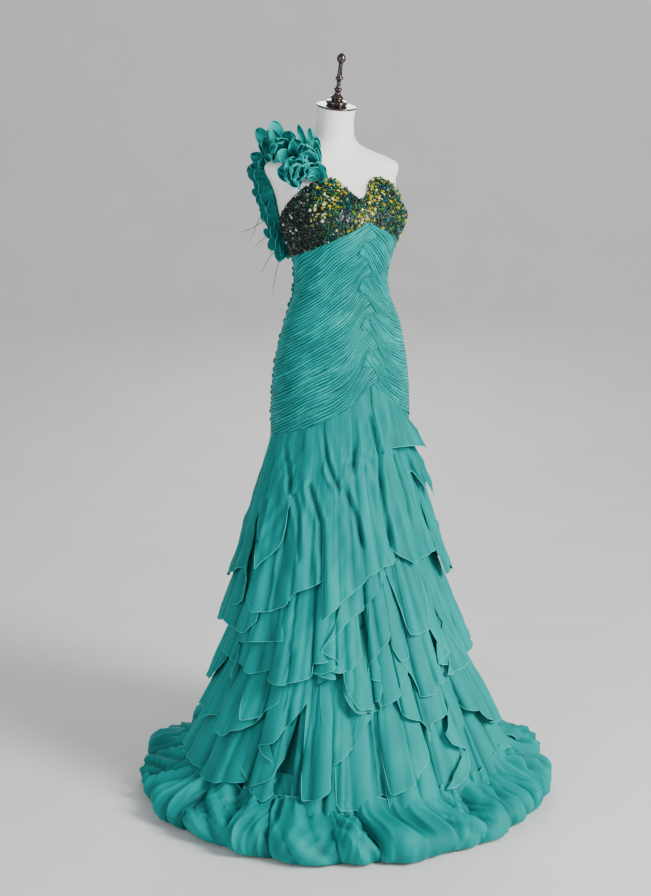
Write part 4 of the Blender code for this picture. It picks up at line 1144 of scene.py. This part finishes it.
def lobe(row, frames, seed):
    """A petal: narrow at its root and round at its tip, cupped and with a ruffled rim."""
    point, _, outward, side = (part[0] for part in frame_at(frames, row.place))
    root = point + outward * (CLOTH + 1.2 - row.aside**2 / 400) + side * row.aside
    up = np.array(row.tip, float) @ WAYS
    length = np.linalg.norm(up)
    up = up / length
    across = np.cross(up, WAYS[2] + 0.3 * WAYS[1])
    across /= np.linalg.norm(across)
    through = np.cross(across, up)
    spin = math.radians(row.turn)
    cosine, sine = math.cos(spin), math.sin(spin)
    across, through = across * cosine + through * sine, through * cosine - across * sine
    reach = np.linspace(0, 1, 24)[:, None]
    swing = np.linspace(-1, 1, 30)[None, :]
    head = np.sqrt(np.maximum(1 - (np.clip(reach - 0.62, 0, 1) / 0.39) ** 2, 0.01))
    width = row.width * (0.36 + 0.64 * np.sin(np.pi / 2 * np.minimum(reach / 0.56, 1))) * head
    rim = np.clip(np.maximum(np.abs(swing) ** 1.5 * reach**0.5, reach**1.8), 0, 1)
    phase = row.ruffles * 2.4 * swing + 4.2 * reach + seed * 1.9 + 0.8 * np.sin(2.5 * swing + seed)
    ruffle = np.sin(phase)
    bend = 0.8 * row.cup * (reach * swing**2 + 0.7 * reach**2 - 0.5) + 4.6 * ruffle * rim**1.4
    wide = width / 2 * (swing + 0.08 * rim * np.cos(phase))
    points = root + up * (length * reach)[..., None] + across * wide[..., None] + through * bend[..., None]
    veins = 0.08 * np.cos(16 * swing + seed) * reach
    # Painted light and shade: lighter on the rim and the ruffles' crests, darker towards the root, with faint
    # veins.
    shade = np.clip(0.42 + 0.28 * ruffle * rim + 0.30 * rim - 0.35 * (1 - reach) ** 2 + veins, 0, 1)
    outline = np.concatenate([points[5:, 0], points[-1, 1:-1], points[5:, -1][::-1]])
    return points, shade, [(outline, PETAL_HEM)]


def frill(row, frames, columns, seed):
    """Gathered strips sewn along a path by one edge, with curling ruffles."""
    share = np.linspace(0, 1, columns)
    point, travel, outward, side = frame_at(frames, lerp(row.start, 1, share))
    reach = np.linspace(0, 1, 14)[:, None]
    sheets = []
    for number, (aside, lean) in enumerate(row.strips):
        turn = math.radians(lean)
        up = outward * math.cos(turn) + side * math.sin(turn)
        sway = np.cross(travel, up)
        mark = seed + 5 * number
        height = lerp(row.start_height, row.end_height, share) * (1 + 0.3 * ripple(share * 40, 0, mark))
        height = height * (1 - 0.25 * number)
        lift = CLOTH + CLEARANCE + 0.3 + CLOTH * abs(math.sin(turn)) - aside**2 / 90
        root = point + outward * lift + side * aside
        phase = 2 * np.pi * row.waves * share + 2.4 * np.sin(2 * np.pi * 1.7 * share + mark) + mark
        phase = phase + 1.0 * np.sin(2 * np.pi * 4.3 * share - mark)
        along = 1.05 * row.swing * reach**1.4 * np.cos(phase)
        push = row.swing * reach**1.1 * np.sin(phase + 0.6)
        rise = (height * reach) * (1 - 0.20 * np.sin(phase) * reach)
        points = root[None] + up[None] * rise[..., None] + sway[None] * push[..., None]
        points = points + travel[None] * along[..., None]
        # Painted light and shade: lighter on the waves' crests and darker in their troughs, more so towards
        # the free edge.
        shade = np.clip(0.62 + 0.38 * reach * np.sin(phase), 0, 1)
        sheets.append((points[::-1], shade[::-1], [(points[-1], FRILL_HEM)]))
    sew(row.node, sheets, PETAL)


def build_strap_band(frames):
    made = Build()
    share = np.linspace(0, 1, 90)
    point, _, outward, side = frame_at(frames, share)
    across = np.linspace(-1, 1, 14)[:, None]
    gather = 0.5 + 0.5 * np.sin(2 * np.pi * 34 * share + across * 1.4 + np.sin(share * 30))
    aside = across * STRAP_WIDTH / 2
    points = point[None] + side[None] * aside[..., None]
    points = points + outward[None] * (CLOTH + 0.7 * gather - aside**2 / 110)[..., None]
    # The fold mark follows the gathers: painted shade in their hollows, lighter on their crests.
    made.grid(points[::-1], gather[::-1] * 0.8)
    piece = made.make("strap_cloth", [CHIFFON], "strap_band", "chiffon")
    declare([points])


def build_threads(frames):
    """Loose threads on a narrow backing."""
    made = Build()
    point, _, outward, side = frame_at(frames, np.linspace(THREAD_START, THREAD_END, 40))
    made.grid(np.stack([point + outward * (CLOTH + 1.4) + side * offset for offset in (2.5, -2.5)]))
    for k, row in enumerate(THREADS):
        place = lerp(THREAD_START, THREAD_END, (2 * k + 1.5) / 14)
        point, travel, outward, side = (part[0] for part in frame_at(frames, place))
        root = point + outward * (CLOTH + 1.4)
        reach = np.linspace(0, 1, 26)[:, None]
        path = root + outward * (row.out * reach + 3 * (1 - reach)) + side * (row.sway * np.sin(3 * reach))
        path = path + travel * (1.6 * np.sin(9 * reach + k))
        path[:, 2] -= row.drop * reach[:, 0] ** 1.6
        made.tube(path, np.linspace(1.15, 0.7, 26), 0, 0.5)
    made.make("loose_threads", [THREAD], "strap_threads", "thread")


def build_strap():
    frames = frames_along(STRAP, (1.85, 1.9), 72)
    build_strap_band(frames)
    seed = 0
    for node, rows in LOBES.items():
        sheets = [lobe(Lobe(*row), frames, seed + k) for k, row in enumerate(rows)]
        seed += len(rows)
        sew(node, sheets, PETAL)
    for number, row in enumerate(STRAP_FRILLS, 20):
        frill(row, frames, 260, number)
    side_frames = frames_along(SIDE_SEAM, (2.4, 2.4), 40)
    frill(SIDE_FRILL, side_frames, 360, 30)
    build_threads(frames)


def finish_nodes():
    """Materials for the nodes that stay as the part has them, with the marks that the chiffon reads."""
    for name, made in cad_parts.items():
        finish = STEEL if name.startswith("stand_") else CHIFFON if name.startswith("underskirt_") else None
        if finish:
            made.data.materials.clear()
            made.data.materials.append(finish)
            if not made.data.uv_layers:
                made.data.uv_layers.new(name="marks")
            made.data.uv_layers[0].name = "marks"
            for corner in made.data.uv_layers["marks"].data:
                # A fold mark of 0.4 paints the underskirt darker than plain chiffon: painted shade under the
                # flounces.
                corner.uv = (0.4, 1)


# Floor, light and camera

CAMERA_PLACE, CAMERA_TURN, CAMERA_DOWN = (-1.75, -3.031, 1.5), math.radians(-30), math.radians(11.79)
SWEEP_FRONT, SWEEP_START, SWEEP_RADIUS, SWEEP_TOP, SWEEP_HALF_WIDTH = -9.0, 3.0, 3.0, 9.0, 12.0


def build_floor():
    """A floor that sweeps up behind the dress, square to the camera."""
    sweep = [(SWEEP_FRONT, 0.0), (SWEEP_START, 0.0)]
    for t in np.linspace(0.1, math.pi / 2, 16):
        sweep.append((SWEEP_START + SWEEP_RADIUS * math.sin(t), SWEEP_RADIUS * (1 - math.cos(t))))
    sweep.append((SWEEP_START + SWEEP_RADIUS, SWEEP_TOP))
    cosine, sine = math.cos(CAMERA_TURN), math.sin(CAMERA_TURN)
    points = [
        (x * cosine - y * sine, x * sine + y * cosine, z)
        for y, z in sweep for x in (-SWEEP_HALF_WIDTH, SWEEP_HALF_WIDTH)
    ]
    faces = [(2 * k, 2 * k + 1, 2 * k + 3, 2 * k + 2) for k in range(len(sweep) - 1)]
    mesh = bpy.data.meshes.new("floor")
    mesh.from_pydata(points, [], faces)
    mesh.shade_smooth()
    mesh.materials.append(FLOOR)
    add_object("floor", mesh)


def add_light(name, place, target, size, power, colour):
    data = bpy.data.lights.new(name, "AREA")
    data.shape = "RECTANGLE"
    data.size, data.size_y = size
    data.energy = power
    data.color = colour
    made = add_object(name, data)
    made.location = place
    made.rotation_euler = (Vector(target) - Vector(place)).to_track_quat("-Z", "Y").to_euler()


def build_lights():
    add_light("key", (1.7, -3.75, 2.8), (0, 0, 0.8), (1.5, 2.0), 380, (1, 0.99, 0.98))
    add_light("fill", (-4.2, -1.8, 1.9), (0, 0, 0.8), (2.4, 2.6), 75, (0.95, 0.98, 1))
    add_light("rim", (1.8, 3.2, 2.6), (0, 0, 0.9), (1.6, 2.4), 60, (1, 1, 1))
    world = bpy.data.worlds.new("studio")
    world.use_nodes = True
    set_inputs(world.node_tree, world.node_tree.nodes["Background"], Color=(0.80, 0.81, 0.82), Strength=0.5)
    bpy.context.scene.world = world


def build_camera():
    data = bpy.data.cameras.new("camera")
    data.sensor_width, data.lens = 36, 65.13
    data.shift_x = -16.5 / 896
    made = add_object("camera", data)
    made.location = CAMERA_PLACE
    made.rotation_euler = (math.pi / 2 - CAMERA_DOWN, 0, CAMERA_TURN)
    bpy.context.scene.camera = made


build_floor()
build_lights()
build_camera()
build_torso()
build_finial()
build_bodice()
ruched("midriff_right", -95, 0, 1, 1)
ruched("midriff_left", 0, 95, -1, 2)
ruched("midriff_back_left", 95, 180, 0, 3)
ruched("midriff_back_right", 180, 265, 0, 4)
build_flounces()
build_hem()
build_strap()
finish_nodes()
bpy.context.view_layer.update()
